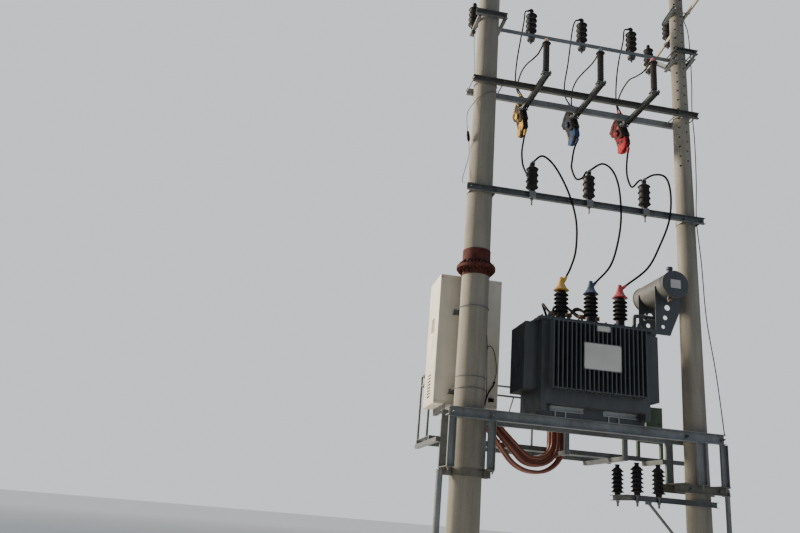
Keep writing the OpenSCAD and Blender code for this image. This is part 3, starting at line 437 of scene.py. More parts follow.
class Finish:
    """One material of nodes that read object coordinates."""

    def __init__(self, name):
        self.material = bpy.data.materials.new(name)
        self.material.use_nodes = True
        self.tree = self.material.node_tree
        self.shader = self.tree.nodes["Principled BSDF"]
        self.place = self.node("ShaderNodeTexCoord").outputs["Object"]

    def node(self, kind, **values):
        made = self.tree.nodes.new(kind)
        for key, value in values.items():
            setattr(made, key, value)
        return made

    def join(self, out, into):
        self.tree.links.new(out, into)

    def feed(self, value, into):
        """Joins a socket to another, or sets a plain number or colour on it."""
        if isinstance(value, bpy.types.NodeSocket):
            self.join(value, into)
        elif isinstance(value, (int, float)):
            into.default_value = value
        else:
            into.default_value = (*value[:3], 1)

    def stretched(self, scale):
        mapping = self.node("ShaderNodeMapping")
        mapping.inputs["Scale"].default_value = scale
        self.join(self.place, mapping.inputs["Vector"])
        return mapping.outputs["Vector"]

    def noise(self, scale, detail=4, rough=0.55, stretch=(1, 1, 1)):
        made = self.node("ShaderNodeTexNoise")
        made.inputs["Scale"].default_value = scale
        made.inputs["Detail"].default_value = detail
        made.inputs["Roughness"].default_value = rough
        self.join(self.stretched(stretch), made.inputs["Vector"])
        return made.outputs["Fac"]

    def uneven(self, scale, detail, low=0.0, high=1.0):
        """Noise spread evenly between two values."""
        return self.band(self.noise(scale, detail), 0.3, 0.7, low, high)

    def cells(self, scale, out="Distance"):
        made = self.node("ShaderNodeTexVoronoi")
        made.inputs["Scale"].default_value = scale
        self.join(self.place, made.inputs["Vector"])
        return made.outputs[out]

    def band(self, value, low, high, to_low=0.0, to_high=1.0):
        made = self.node("ShaderNodeMapRange")
        for key, number in zip(("From Min", "From Max", "To Min", "To Max"), (low, high, to_low, to_high)):
            made.inputs[key].default_value = number
        self.join(value, made.inputs["Value"])
        return made.outputs["Result"]

    def math(self, kind, a, b):
        made = self.node("ShaderNodeMath", operation=kind)
        for value, into in zip((a, b), made.inputs):
            self.feed(value, into)
        return made.outputs["Value"]

    def facing(self, name):
        """How far the surface faces along an axis."""
        parts = self.node("ShaderNodeSeparateXYZ")
        self.join(self.node("ShaderNodeNewGeometry").outputs["Normal"], parts.inputs["Vector"])
        return parts.outputs[name]

    def axis(self, name):
        """The place along an axis."""
        parts = self.node("ShaderNodeSeparateXYZ")
        self.join(self.place, parts.inputs["Vector"])
        return parts.outputs[name]

    def mix(self, share, a, b, blend="MIX"):
        made = self.node("ShaderNodeMix", data_type="RGBA", blend_type=blend)
        for value, into in ((share, made.inputs[0]), (a, made.inputs[6]), (b, made.inputs[7])):
            self.feed(value, into)
        return made.outputs[2]

    def done(self, colour, rough, metal=0.0, bump=None, depth=0.001, strength=1.0, coat=0.0):
        """Joins the colour, the roughness and the bump, and hands over the material."""
        self.join(colour, self.shader.inputs["Base Color"])
        self.feed(rough, self.shader.inputs["Roughness"])
        self.shader.inputs["Metallic"].default_value = metal
        if coat:
            self.shader.inputs["Coat Weight"].default_value = coat
            self.shader.inputs["Coat Roughness"].default_value = 0.12
        if bump is not None:
            made = self.node("ShaderNodeBump")
            made.inputs["Strength"].default_value = strength
            made.inputs["Distance"].default_value = depth
            self.join(bump, made.inputs["Height"])
            self.join(made.outputs["Normal"], self.shader.inputs["Normal"])
        return self.material


def shade(colour, share):
    """A colour made darker or lighter."""
    return tuple(c * share for c in colour)


def concrete(name, colour, axis_x, seam_turn):
    """Spun concrete: pour clouds, rain streaks, pits and a seam where the mould closed."""
    f = Finish(name)
    clouds = f.band(f.noise(1.6, 6, 0.6, (1, 1, 0.35)), 0.32, 0.68)
    streaks = f.band(f.noise(9, 5, 0.6, (1, 1, 0.06)), 0.42, 0.75)
    grain = f.noise(140, 3)
    pits = f.band(f.cells(75), 0.10, 0.20)
    look = f.mix(clouds, shade(colour, 0.66), shade(colour, 1.14))
    look = f.mix(f.math("MULTIPLY", streaks, 0.7), look, shade(colour, 0.45))
    look = f.mix(f.band(grain, 0.3, 0.7, 0, 0.35), look, shade(colour, 0.7), "MULTIPLY")
    look = f.mix(f.math("SUBTRACT", 1.0, pits), look, shade(colour, 0.42))
    around = f.node("ShaderNodeTexGradient", gradient_type="RADIAL")
    turn = f.node("ShaderNodeMapping", vector_type="TEXTURE")
    turn.inputs["Location"].default_value = (axis_x, 0, 0)
    turn.inputs["Rotation"].default_value = (0, 0, seam_turn)
    f.join(f.place, turn.inputs["Vector"])
    f.join(turn.outputs["Vector"], around.inputs["Vector"])
    wander = f.math("ADD", around.outputs["Fac"], f.band(f.noise(3, 2), 0, 1, -0.003, 0.003))
    off_seam = f.band(f.math("ABSOLUTE", f.math("SUBTRACT", wander, 0.5), 0), 0.002, 0.007)
    look = f.mix(f.math("SUBTRACT", 1.0, off_seam), look, shade(colour, 0.66))
    height = f.math("ADD", f.math("MULTIPLY", grain, 0.35), f.math("ADD", pits, off_seam))
    return f.done(look, f.band(clouds, 0, 1, 0.95, 0.82), bump=height, depth=0.0025, strength=0.6)


def red_oxide(name, colour):
    """Primer gone chalky and rusted through along its edges."""
    f = Finish(name)
    patches = f.band(f.noise(11, 6, 0.65), 0.42, 0.62)
    runs = f.band(f.noise(26, 4, 0.6, (1, 1, 0.12)), 0.45, 0.7)
    look = f.mix(patches, colour, shade(colour, 1.55))
    look = f.mix(f.math("MULTIPLY", runs, 0.55), look, (0.05, 0.018, 0.012))
    look = f.mix(f.band(f.facing("Z"), 0.2, 0.9, 0, 0.15), look, (0.16, 0.09, 0.07))
    f.shader.inputs["Specular IOR Level"].default_value = 0.15
    return f.done(look, 0.88, bump=f.noise(90, 5, 0.7), depth=0.002, strength=0.5)


def galvanised(name, colour, warm=0.0, near=None):
    """Weathered zinc: faint crystals, dull film, dirt in streaks and a little rust.

    Warm adds rust, and near is a colour of painted shade that darkens what stands in front of the poles.
    """
    f = Finish(name)
    crystals = f.cells(55, out="Color")
    tone = f.node("ShaderNodeRGBToBW")
    f.join(crystals, tone.inputs["Color"])
    film = f.band(f.noise(3.5, 5, 0.6), 0.35, 0.68)
    look = f.mix(film, shade(colour, 0.74), shade(colour, 1.25))
    look = f.mix(f.band(tone.outputs["Val"], 0.2, 0.8, 0, 0.22), look, shade(colour, 1.6))
    streaks = f.band(f.noise(22, 5, 0.6, (1, 1, 0.12)), 0.52, 0.78)
    look = f.mix(f.math("MULTIPLY", streaks, 0.5), look, shade(colour, 0.4))
    rust = f.band(f.noise(7, 6, 0.7), 0.62 - 0.1 * warm, 0.74)
    look = f.mix(f.math("MULTIPLY", rust, 0.35 + 0.5 * warm), look, (0.13, 0.060, 0.035))
    if near:
        # Painted shade: multiplies the near colour into everything in front of the poles' line.
        look = f.mix(f.band(f.axis("Y"), -0.02, -0.05), look, near, "MULTIPLY")
    return f.done(look, f.band(film, 0, 1, 0.62, 0.42), 0.35, bump=f.noise(120, 3), depth=0.0006, strength=0.35)


def gloss_paint(name, colour, dust=(0.20, 0.18, 0.15), dusty=0.35, rough=0.42, peel=0.0006):
    """Sprayed paint with a little orange peel, dust on what faces up and faint runs of rain."""
    f = Finish(name)
    clouds = f.uneven(2.4, 4)
    look = f.mix(clouds, shade(colour, 0.86), shade(colour, 1.15))
    runs = f.band(f.noise(20, 5, 0.6, (1, 1, 0.07)), 0.50, 0.80)
    look = f.mix(f.math("MULTIPLY", runs, dusty * 0.45), look, dust)
    settled = f.math("MULTIPLY", f.band(f.facing("Z"), 0.55, 1.0, 0, dusty), f.band(f.noise(14, 5), 0.25, 0.7))
    look = f.mix(settled, look, dust)
    return f.done(look, f.uneven(6, 4, rough - 0.07, rough + 0.12), bump=f.noise(260, 2), depth=peel,
                  strength=0.4)


def moulded(name, colour, rough=0.5, dust=(0.16, 0.145, 0.125), dusty=0.3, shine=0.5):
    """Rubber or silicone: soft, slightly uneven colour with dust lying on top."""
    f = Finish(name)
    look = f.mix(f.uneven(9, 4), shade(colour, 0.78), shade(colour, 1.2))
    settled = f.math("MULTIPLY", f.band(f.facing("Z"), 0.1, 1.0, 0, dusty), f.band(f.noise(30, 5), 0.25, 0.65))
    look = f.mix(settled, look, dust)
    f.shader.inputs["Specular IOR Level"].default_value = shine
    return f.done(look, f.uneven(18, 3, rough - 0.06, rough + 0.1), bump=f.noise(70, 4), depth=0.0012,
                  strength=0.3)


def folded(name, colour, share):
    """Phase-coloured rubber sheet painted black as shade, keeping its colour on its left side where the light
    falls, on its edges and in patches.
    """
    f = Finish(name)
    # Painted shade: near-black laid over the whole sheet.
    painted_shade_black = f.mix(f.uneven(12, 4), (0.010, 0.010, 0.011), (0.024, 0.022, 0.022))
    # The left-facing side shows the phase's colour, as painted light.
    side = f.math("MULTIPLY", f.band(f.facing("X"), -0.25, -0.8), f.band(f.noise(9, 3), 0.42, 0.58))
    patches = f.band(f.noise(11, 3, 0.5), 0.60 - 0.25 * share, 0.68 - 0.25 * share)
    edge = f.band(f.node("ShaderNodeNewGeometry").outputs["Pointiness"], 0.54, 0.60)
    tint = f.mix(f.uneven(30, 4), shade(colour, 0.55), shade(colour, 1.1))
    look = f.mix(f.math("MAXIMUM", f.math("MULTIPLY", side, share * 1.8), f.math("MAXIMUM", patches, edge)),
                 painted_shade_black, tint)
    f.shader.inputs["Specular IOR Level"].default_value = 0.08
    return f.done(look, f.uneven(18, 3, 0.65, 0.85), bump=f.noise(45, 4), depth=0.003, strength=0.5)


def glazed(name, colour):
    """Brown glaze, darker where it ran."""
    f = Finish(name)
    look = f.mix(f.uneven(20, 4), shade(colour, 0.6), shade(colour, 1.3))
    return f.done(look, 0.22, bump=f.noise(40, 2), depth=0.0006, strength=0.2, coat=0.5)


def bare_metal(name, colour):
    """Dull plated or cast metal."""
    f = Finish(name)
    look = f.mix(f.band(f.noise(30, 5), 0.35, 0.65), shade(colour, 0.65), shade(colour, 1.15))
    return f.done(look, f.uneven(50, 4, 0.4, 0.65), 0.9, bump=f.noise(200, 2), depth=0.0003, strength=0.3)


LOOKS = {}


def make_finishes(colours):
    """Fills LOOKS with every material, by its key."""
    LOOKS.update({
        "left_concrete": concrete("Left_pole_concrete", colours.concrete, 0.0, math.radians(-118)),
        "right_concrete": concrete("Right_pole_concrete", colours.concrete, POLE_GAP, math.radians(-60)),
        "red_oxide": red_oxide("Red_oxide_primer", colours.red_oxide),
        "steel": galvanised("Galvanised_steel", colours.steel),
        "pale_steel": galvanised("Pale_galvanised_steel", shade(colours.steel, 1.7)),
        # Steel darkened far below its own colour as painted shade, for the backlit mount bars and fixings.
        "black_steel": galvanised("Painted_shade_dark_steel", shade(colours.steel, 0.34), 0.3),
        "fins": gloss_paint("Fin_paint", shade(colours.tank, 1.35)),
        # A darker copy of the same steel, painted shade for parts whose faces are turned from the light.
        "dark_steel": galvanised("Dark_galvanised_steel", shade(colours.steel, 0.70), 0.35),
        "rusty_steel": galvanised("Rusting_steel", shade(colours.steel, 0.62), 1.0),
        "collar_steel": galvanised("Cement_dusted_steel", (0.105, 0.104, 0.090), 0.5),
        "beige": gloss_paint("Beige_line_arm_paint", (0.30, 0.265, 0.205), rough=0.6),
        "polymer": moulded("Dark_polymer", (0.010, 0.009, 0.010), 0.6, dusty=0.04, shine=0.25),
        "arrester": moulded("Brown_grey_polymer", (0.026, 0.022, 0.022), 0.5, dusty=0.10, shine=0.3),
        "yellow": moulded("Yellow_silicone", colours.first_phase, 0.42, dusty=0.2),
        "blue": moulded("Blue_silicone", colours.second_phase, 0.42, dusty=0.2),
        "red": moulded("Red_silicone", colours.third_phase, 0.42, dusty=0.2),
        "tank": gloss_paint("Tank_paint", colours.tank),
        # The barrel's lighter grey than the tank is painted light from the left, with real dust on top of it.
        "drum": gloss_paint("Conservator_dust_and_painted_light", (0.070, 0.073, 0.074), dusty=0.5, rough=0.5),
        "drum_end": gloss_paint("Conservator_end_paint", colours.tank, dusty=0.2, rough=0.38),
        "tank_bolts": gloss_paint("Painted_bolts", shade(colours.tank, 1.3)),
        # The near colour darkens the front fuse arm as painted shade, not as the zinc's own colour.
        "fuse_steel": galvanised("Fuse_arm_steel", colours.steel, 0.15, (0.62, 0.56, 0.50)),
        # These sheets are black as painted shade; the last number is how much of the phase's colour still shows.
        "yellow_fold": folded("Yellow_folded_sheet", colours.first_phase, 0.55),
        "blue_fold": folded("Blue_folded_sheet", shade(colours.second_phase, 1.5), 0.65),
        "red_fold": folded("Red_folded_sheet", colours.third_phase, 0.65),
        "yellow_cover": folded("Yellow_edged_sheet", colours.first_phase, 0.10),
        "blue_cover": folded("Blue_edged_sheet", colours.second_phase, 0.15),
        "red_cover": folded("Red_edged_sheet", colours.third_phase, 0.15),
        "fibre": moulded("Fuse_tube_fibre", (0.30, 0.23, 0.15), 0.5),
        "porcelain": glazed("Brown_glaze", (0.11, 0.035, 0.016)),
        "cable": moulded("Black_cable_sheath", (0.007, 0.007, 0.008), 0.6, dusty=0.02, shine=0.15),
        "plate": gloss_paint("Bare_plate_face", (0.42, 0.43, 0.42), dusty=0.15, rough=0.45, peel=0.0001),
        "cabinet": gloss_paint("Cream_cabinet_paint", colours.cabinet, (0.24, 0.20, 0.14), 0.3, 0.45),
        "duct": moulded("Red_brown_duct_plastic", colours.duct, 0.38, (0.22, 0.17, 0.13), 0.2),
        "green": gloss_paint("Green_box_paint", (0.060, 0.095, 0.055), rough=0.55),
        "brass": bare_metal("Dull_brass", (0.19, 0.13, 0.075)),
        "zinc": bare_metal("Zinc_plated_bolts", (0.20, 0.205, 0.21)),
        "mesh": galvanised("Expanded_metal", shade(colours.steel, 1.3)),
        # Near-black, used as painted shade behind the louvre slots and also for the terminal box.
        "dark_hole": moulded("Dark_gap", (0.006, 0.006, 0.007), 0.9),
    })


# Which carried-over parts take which finish
CARRIED_OVER = {
    "left_concrete": ("left_pole_lower", "left_pole_upper"),
    "right_concrete": ("right_pole",),
    "red_oxide": ("pole_joint",),
    "pale_steel": ("foot_bars",),
    "steel": ("top_arm", "line_arm_clamps", "arm_rods", "arm_straps", "platform_beams",
              "beam_rods", "pole_struts", "cabinet_brackets", "walkway_rail", "down_pipes"),
    "fuse_steel": ("fuse_arms",),
    "dark_steel": ("top_arm_clamps", "post_arm", "walkway_frame"),
    "black_steel": ("mount_bars",),
    "rusty_steel": ("low_arm",),
    "collar_steel": ("pole_collars",),
    "beige": ("line_arm",),
    "polymer": ("line_insulators", "post_insulators", "low_insulators", "cutouts", "high_bushings"),
    "arrester": ("arresters",),
    "yellow": ("caps_yellow",),
    "blue": ("caps_blue",),
    "red": ("caps_red",),
    "tank": ("base_frame", "tank", "end_fins", "lid", "conservator_plates", "tank_fittings"),
    "fins": ("long_fins",),
    "drum": ("conservator",),
    "porcelain": ("low_bushings",),
    "cable": ("low_tails", "high_jumpers", "drop_leads"),
    "plate": ("blank_plates",),
    "cabinet": ("cabinet", "cabinet_doors"),
    "duct": ("low_ducts", "back_ducts"),
    "mesh": ("walkway_floor",),
    "green": ("side_box",),
}


# Cords, stiff wires all: route points in metres, from the part's own source

JUMPERS = {
    "jumper_yellow": [
        (0.600, 0.172, 6.430), (0.578, 0.160, 6.290), (0.545, 0.095, 6.110), (0.540, 0.020, 5.900),
        (0.573, -0.066, 5.740), (0.583, -0.098, 5.795), (0.592, -0.140, 5.859), (0.604, -0.182, 5.861),
        (0.720, -0.196, 5.955), (0.880, -0.205, 5.825), (1.050, -0.216, 5.500), (1.148, -0.214, 5.150),
        (1.150, -0.206, 4.790), (1.092, -0.200, 4.562), (1.030, -0.200, 4.425)],
    "jumper_blue": [
        (1.306, 0.172, 6.430), (1.262, 0.150, 6.300), (1.215, 0.090, 6.110), (1.180, 0.015, 5.960),
        (1.205, -0.062, 5.790), (1.262, -0.118, 5.780), (1.306, -0.138, 5.859), (1.330, -0.182, 5.861),
        (1.492, -0.196, 5.978), (1.625, -0.205, 5.900), (1.702, -0.215, 5.670), (1.722, -0.216, 5.275),
        (1.674, -0.208, 4.925), (1.580, -0.200, 4.635), (1.395, -0.200, 4.406)],
    "jumper_red": [
        (2.024, 0.172, 6.420), (1.992, 0.140, 6.275), (1.955, 0.080, 6.090), (1.932, 0.005, 5.930),
        (1.950, -0.066, 5.790), (2.012, -0.130, 5.859), (2.056, -0.182, 5.861), (2.172, -0.196, 5.935),
        (2.305, -0.200, 5.945), (2.372, -0.206, 5.845), (2.388, -0.215, 5.610), (2.350, -0.216, 5.325),
        (2.230, -0.206, 5.005), (2.060, -0.200, 4.680), (1.765, -0.200, 4.412)],
}
LEADS = {
    "line_lead_yellow": [
        (0.600, 0.178, 8.353), (0.560, 0.190, 8.335), (0.552, 0.205, 8.190), (0.527, 0.250, 7.925),
        (0.504, 0.305, 7.630), (0.507, 0.362, 7.380), (0.540, 0.395, 7.230), (0.580, 0.397, 7.143)],
    "line_lead_blue": [
        (1.325, 0.178, 8.353), (1.285, 0.190, 8.335), (1.255, 0.222, 8.180), (1.212, 0.255, 7.670),
        (1.187, 0.310, 7.366), (1.225, 0.365, 7.218), (1.288, 0.397, 7.143)],
    "line_lead_red": [
        (2.055, 0.178, 8.353), (2.012, 0.190, 8.335), (1.996, 0.200, 8.149), (1.959, 0.255, 7.883),
        (1.944, 0.310, 7.591), (1.959, 0.365, 7.308), (1.998, 0.397, 7.143)],
    "arrester_lead_yellow": [
        (0.592, -0.528, 7.358), (0.580, -0.492, 7.325), (0.566, -0.430, 7.283), (0.557, -0.369, 7.268),
        (0.540, -0.237, 7.285), (0.510, -0.106, 7.293), (0.488, 0.026, 7.269), (0.492, 0.157, 7.228),
        (0.510, 0.270, 7.180), (0.596, 0.353, 7.123)],
    "arrester_lead_blue": [
        (1.302, -0.527, 7.358), (1.306, -0.470, 7.325), (1.308, -0.347, 7.317), (1.307, -0.193, 7.334),
        (1.290, -0.040, 7.338), (1.271, 0.113, 7.315), (1.278, 0.267, 7.247), (1.304, 0.353, 7.123)],
    "arrester_lead_red": [
        (2.006, -0.528, 7.358), (1.996, -0.476, 7.322), (1.980, -0.369, 7.293), (1.950, -0.237, 7.303),
        (1.932, -0.106, 7.337), (1.926, 0.026, 7.325), (1.917, 0.157, 7.255), (1.943, 0.289, 7.182),
        (2.012, 0.353, 7.123)],
}
JUMPER_D = 0.026
LEAD_D = 0.020


def cord(name, points, diameter, node):
    """A cord as a curve of one open spline through its route's points."""
    route = smooth_route(points)
    piece = round_bar(name, route, diameter / 2, 3)
    piece.data.materials.append(LOOKS["cable"])
    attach(piece, "root")
    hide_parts(node)
    return piece


# Pieces


def bolt(size, shank=0.018):
    """A hexagon nut on its washer with the bolt's end standing out, along +Z."""
    washer = turned([(size * 1.25, 0), (size * 1.25, size * 0.22)], 14)
    nut = turned([(size * 0.93, size * 0.2), (size, size * 0.3), (size, size * 0.95),
                  (size * 0.9, size * 1.08)], 6)
    end = turned([(size * 0.5, size * 0.9), (size * 0.5, size * 1.08 + shank),
                  (size * 0.4, size * 1.2 + shank)], 8)
    return joined([washer, nut, end])


def stud(low, high):
    """The threaded rod that holds an insulator."""
    return turned([(0.0105, low), (0.012, low + 0.002), (0.012, high)], 12)


def tapered_socket(start, towards, radius, length):
    """Boot that begins where a cord ends and points away from its next point."""
    start, towards = Vector(start), Vector(towards)
    end = start + (start - towards).normalized() * length
    boot = turned([(radius * 0.96, -0.016), (radius * 1.12, -0.010), (radius * 1.15, 0.004),
                   (radius * 1.3, length * 0.5), (radius * 1.35, length)], 16)
    return moved(boot, along(start, end))


class TRANSFORMER_OT_camera(bpy.types.Operator):
    """Puts the camera where the photograph was taken from"""
    bl_idname = "transformer.camera"
    bl_label = "Camera"

    def execute(self, context):
        values = context.scene.transformer_camera
        h, p, r = values.heading, values.pitch, values.roll
        ahead = Vector((math.sin(h) * math.cos(p), math.cos(h) * math.cos(p), math.sin(p)))
        side = Vector((math.cos(h), -math.sin(h), 0))
        above = side.cross(ahead)
        across = math.cos(r) * side + math.sin(r) * above
        upward = -math.sin(r) * side + math.cos(r) * above
        data = bpy.data.cameras.new("Camera")
        data.sensor_width = 36
        data.lens = values.lens
        data.clip_end = 400
        camera = bpy.data.objects.new("Camera", data)
        camera.matrix_world = Matrix((
            (across.x, upward.x, -ahead.x, values.place[0]),
            (across.y, upward.y, -ahead.y, values.place[1]),
            (across.z, upward.z, -ahead.z, values.place[2]), (0, 0, 0, 1)))
        context.scene.collection.objects.link(camera)
        context.scene.camera = camera
        return {"FINISHED"}


class TRANSFORMER_OT_finishes(bpy.types.Operator):
    """Makes the materials and dresses the carried-over parts"""
    bl_idname = "transformer.finishes"
    bl_label = "Finishes"

    def execute(self, context):
        make_finishes(context.scene.transformer_colours)
        for look, nodes in CARRIED_OVER.items():
            for node in nodes:
                dress(node, look)
        return {"FINISHED"}


class TRANSFORMER_OT_cords(bpy.types.Operator):
    """Hangs the jumpers and the drop leads"""
    bl_idname = "transformer.cords"
    bl_label = "Jumpers and leads"

    def execute(self, context):
        for name, points in JUMPERS.items():
            cord(name, points, JUMPER_D, "high_jumpers")
        for name, points in LEADS.items():
            cord(name, points, LEAD_D, "drop_leads")
        return {"FINISHED"}


HOLE_DEPTH = 0.055
HOLE_COLUMNS = ((-135, 6.20, 9.05), (-82, 6.27, 9.05))


def shaft(radius, low, high, x, sizes, columns=()):
    """A length of pole; each column of cast holes has its side in degrees, first and last height."""
    step = sizes.hole_pitch
    count = int((high - low) / step)
    rings = [(radius(z), z) for z in (low + (high - low) * k / count for k in range(count))]
    piece = turned(rings + [(radius(high), high - 0.006), (radius(high) - 0.005, high)], 80)
    holes = []
    for side, first, last in columns:
        angle = math.radians(side)
        for k in range(int((last - first) / step) + 1):
            z = first + k * step
            out = radius(z) + 0.01
            holes.append(at(out * math.cos(angle), out * math.sin(angle), z, (0, -math.pi / 2, angle)))
    if holes:
        cut(piece, repeated(turned([(sizes.hole_r, 0), (sizes.hole_r, HOLE_DEPTH)], 12), holes))
    return moved(piece, at(x, 0, 0))


class TRANSFORMER_OT_poles(bpy.types.Operator):
    """Spins the concrete poles and casts the right one's holes"""
    bl_idname = "transformer.poles"
    bl_label = "Poles"

    def execute(self, context):
        sizes = context.scene.transformer_sizes
        for part, low, high in (("lower", 0, JOINT_Z), ("upper", JOINT_Z, POLE_TOP)):
            present(shaft(left_r, low, high, 0, sizes), "Left_pole_" + part + "_shaft", "left_concrete",
                    ["left_pole_" + part])
        present(shaft(right_r, 0, POLE_TOP, POLE_GAP, sizes, HOLE_COLUMNS), "Right_pole_shaft",
                "right_concrete", ["right_pole"])
        return {"FINISHED"}


JOINT_BOLTS = 16
JOINT_BOLT_CIRCLE = 0.206
JOINT_WELDS = ((FLANGE + 0.001, left_r(JOINT_Z) + 0.008), (-FLANGE - 0.001, left_r(JOINT_Z) + 0.008),
               (0.214, left_r(JOINT_Z + 0.215) + 0.004), (-0.095, left_r(JOINT_Z - 0.096) + 0.004))


class TRANSFORMER_OT_joint(bpy.types.Operator):
    """Bolts and welds of the left pole's joint"""
    bl_idname = "transformer.joint"
    bl_label = "Pole joint"

    def execute(self, context):
        size = context.scene.transformer_sizes.bolt_r
        places = []
        for k in range(JOINT_BOLTS):
            turn = (k + 0.5) * 2 * math.pi / JOINT_BOLTS
            x, y = JOINT_BOLT_CIRCLE * math.cos(turn), JOINT_BOLT_CIRCLE * math.sin(turn)
            places.append(at(x, y, JOINT_Z + FLANGE, (0, 0, k * 0.7)))
            places.append(at(x, y, JOINT_Z - FLANGE, (math.pi, 0, k * 0.7)))
        present(repeated(bolt(size * 0.95, 0.012), places), "Pole_joint_bolts", "red_oxide",
                smooth=30)
        beads = []
        for height, radius in JOINT_WELDS:
            beads.append(crumple(hoop(radius, 0.0035, 96, JOINT_Z + height), 0.012, 0.003, 0))
        present(joined(beads), "Pole_joint_welds", "red_oxide")
        soften("pole_joint", 0.0012)
        return {"FINISHED"}


PIN_RIM, PIN_CORE = 0.077, 0.063
PIN_LOWS = (0.060, 0.140, 0.220, 0.300)
LINE_HEAD = [(0.024, 0.346), (0.024, 0.370), (0.029, 0.376), (0.029, 0.392), (0.023, 0.400), (0.021, 0.408),
             (0.014, 0.410)]
POST_HEAD = [(0.028, 0.347), (0.028, 0.368), (0.032, 0.373), (0.031, 0.382), (0.024, 0.390)]
LEDGE_PINS = [(x, 0.1721, 7.965) for x in (0.647, 1.375, 2.103)]
LINE_ARM_PINS = [(0.12274, y, 8.580) for y in (0.550, 1.240)]
CORNER_PIN = (-0.157, 0.185, 7.905)
POST_PINS = [(1.325 + k * 0.728, -0.17645, 5.455) for k in PHASES]


def pin_profile(head):
    """Body of a pin insulator: foot, cone, flat rims and dome, then its head."""
    profile = [(0.034, 0), (0.038, 0.003), (0.038, 0.030), (0.043, 0.037), (0.066, 0.053)]
    for low in PIN_LOWS:
        if low > PIN_LOWS[0]:
            profile += [(PIN_CORE, low - 0.004), (0.066, low - 0.0005)]
        profile += [(0.0745, low), (PIN_RIM, low + 0.003), (0.0755, low + 0.008)]
        if low < PIN_LOWS[-1]:
            profile += [(0.066, low + 0.022), (PIN_CORE, low + 0.030)]
    return profile + [(0.060, 0.322), (0.044, 0.334), (0.031, 0.341)] + head


class TRANSFORMER_OT_pins(bpy.types.Operator):
    """Line and post insulators with their studs and clamps"""
    bl_idname = "transformer.pins"
    bl_label = "Pin insulators"

    def execute(self, context):
        size = context.scene.transformer_sizes.bolt_r
        line_arm = at(POLE_GAP, 0, 0, (0, 0, LINE_ARM_TURN))
        ledges = [at(*pin) for pin in LEDGE_PINS]
        tilted = [line_arm @ at(*pin) for pin in LINE_ARM_PINS]
        corner = at(*CORNER_PIN)
        bodies = repeated(turned(pin_profile(LINE_HEAD), 36), [*ledges, *tilted, corner])
        sockets = [tapered_socket(*points[:2], 0.012, 0.05) for name, points in LEADS.items()
                   if name.startswith("line")]
        present(joined([bodies, *sockets]), "Line_insulator_bodies",
                "polymer", ["line_insulators"], smooth=42)
        fixing = []
        for leg, group in ((0.060, ledges), (0.055, tilted)):
            cup = turned([(0.050, -0.030), (0.052, -0.030), (0.057, -0.004), (0.056, 0)], 28)
            nut = moved(bolt(size * 1.35, 0.004), at(0, 0, -0.030, DOWN))
            fixing.append(repeated(moved(joined([cup, stud(-0.085, 0.002), nut]), at(0, 0, -leg)), group))
        foot = turned([(0.025, -0.020), (0.030, -0.016), (0.030, 0)], 24)
        nut = moved(bolt(size * 1.35, 0.004), at(0, 0, -0.020, DOWN))
        fixing.append(moved(joined([foot, stud(-0.085, 0.002), nut]), corner @ at(0, 0, -0.040)))
        present(joined(fixing), "Line_insulator_fixings", "black_steel", smooth=30)

        posts = [at(*pin) for pin in POST_PINS]
        present(repeated(turned(pin_profile(POST_HEAD), 36), posts), "Post_insulator_bodies", "polymer",
                ["post_insulators"], smooth=42)
        nut = turned([(0.019, -0.104), (0.022, -0.101), (0.022, -0.083), (0.019, -0.080)], 6)
        washer = turned([(0.032, -0.0825), (0.032, -0.080)], 20)
        present(repeated(joined([stud(-0.168, -0.078), nut, washer]), posts), "Post_insulator_studs", "zinc",
                smooth=30)
        plate = block((-0.040, -0.0485, -0.0865), (0.040, -0.0225, -0.0005), 0.0015)
        present(repeated(plate, posts), "Post_arm_saddles", "steel", smooth=0)
        clamps = []
        for points in JUMPERS.values():
            over = next(i for i, point in enumerate(points) if point[2] == JUMPER_TOP)
            here, ahead = Vector(points[over]), Vector(points[over + 1])
            sleeve = turned([(0.0135, -0.024), (0.0165, -0.022), (0.0165, 0.022), (0.0135, 0.024)], 16)
            clamps.append(moved(sleeve, along(here, ahead)))
            clamps.append(block(here + Vector((-0.026, -0.008, -0.016)),
                                here + Vector((0.026, 0.008, -0.011)), 0.001))
        present(joined(clamps), "Post_head_clamps", "zinc")
        return {"FINISHED"}


# Rods through the arms: the x of each, the faces it ends on in front and behind, and its height
ARM_RODS = (((0.1784,), -0.1431, 0.1431, 7.935), ((2.592, 2.865), -0.1029, 0.1431, 7.935),
            ((-0.195, 0.195, 2.568, 2.832), -0.1499, 0.1499, 6.915),
            ((-0.157, 0.157, 2.583, 2.817), -0.1599, None, 5.415))
BEAM_RODS = (((-0.215, 0.215, 2.485, 2.915), -0.1799, 0.1799, 2.744),)
# How wide the sharp edges of the carried-over parts are broken
EDGES = {"top_arm": 0.0012, "top_arm_clamps": 0.0015, "line_arm": 0.0012, "line_arm_clamps": 0.0015,
         "fuse_arms": 0.002, "mount_bars": 0.0015, "post_arm": 0.002, "arm_straps": 0.001,
         "platform_beams": 0.003, "pole_struts": 0.002, "pole_collars": 0.0015, "base_frame": 0.003,
         "foot_bars": 0.003, "walkway_frame": 0.003, "low_arm": 0.0012, "arm_rods": 0.001,
         "conservator_plates": 0.002, "lid": 0.003, "tank": 0.005, "side_box": 0.002, "blank_plates": 0.0007}
FIN_EDGE = 0.0052


def rod_ends(rods):
    """Where nuts sit on the ends of through rods."""
    places = []
    for columns, front, back, z in rods:
        places += [at(x, front, z, FRONT) for x in columns]
        if back:
            places += [at(x, back, z, BACK) for x in columns]
    return places


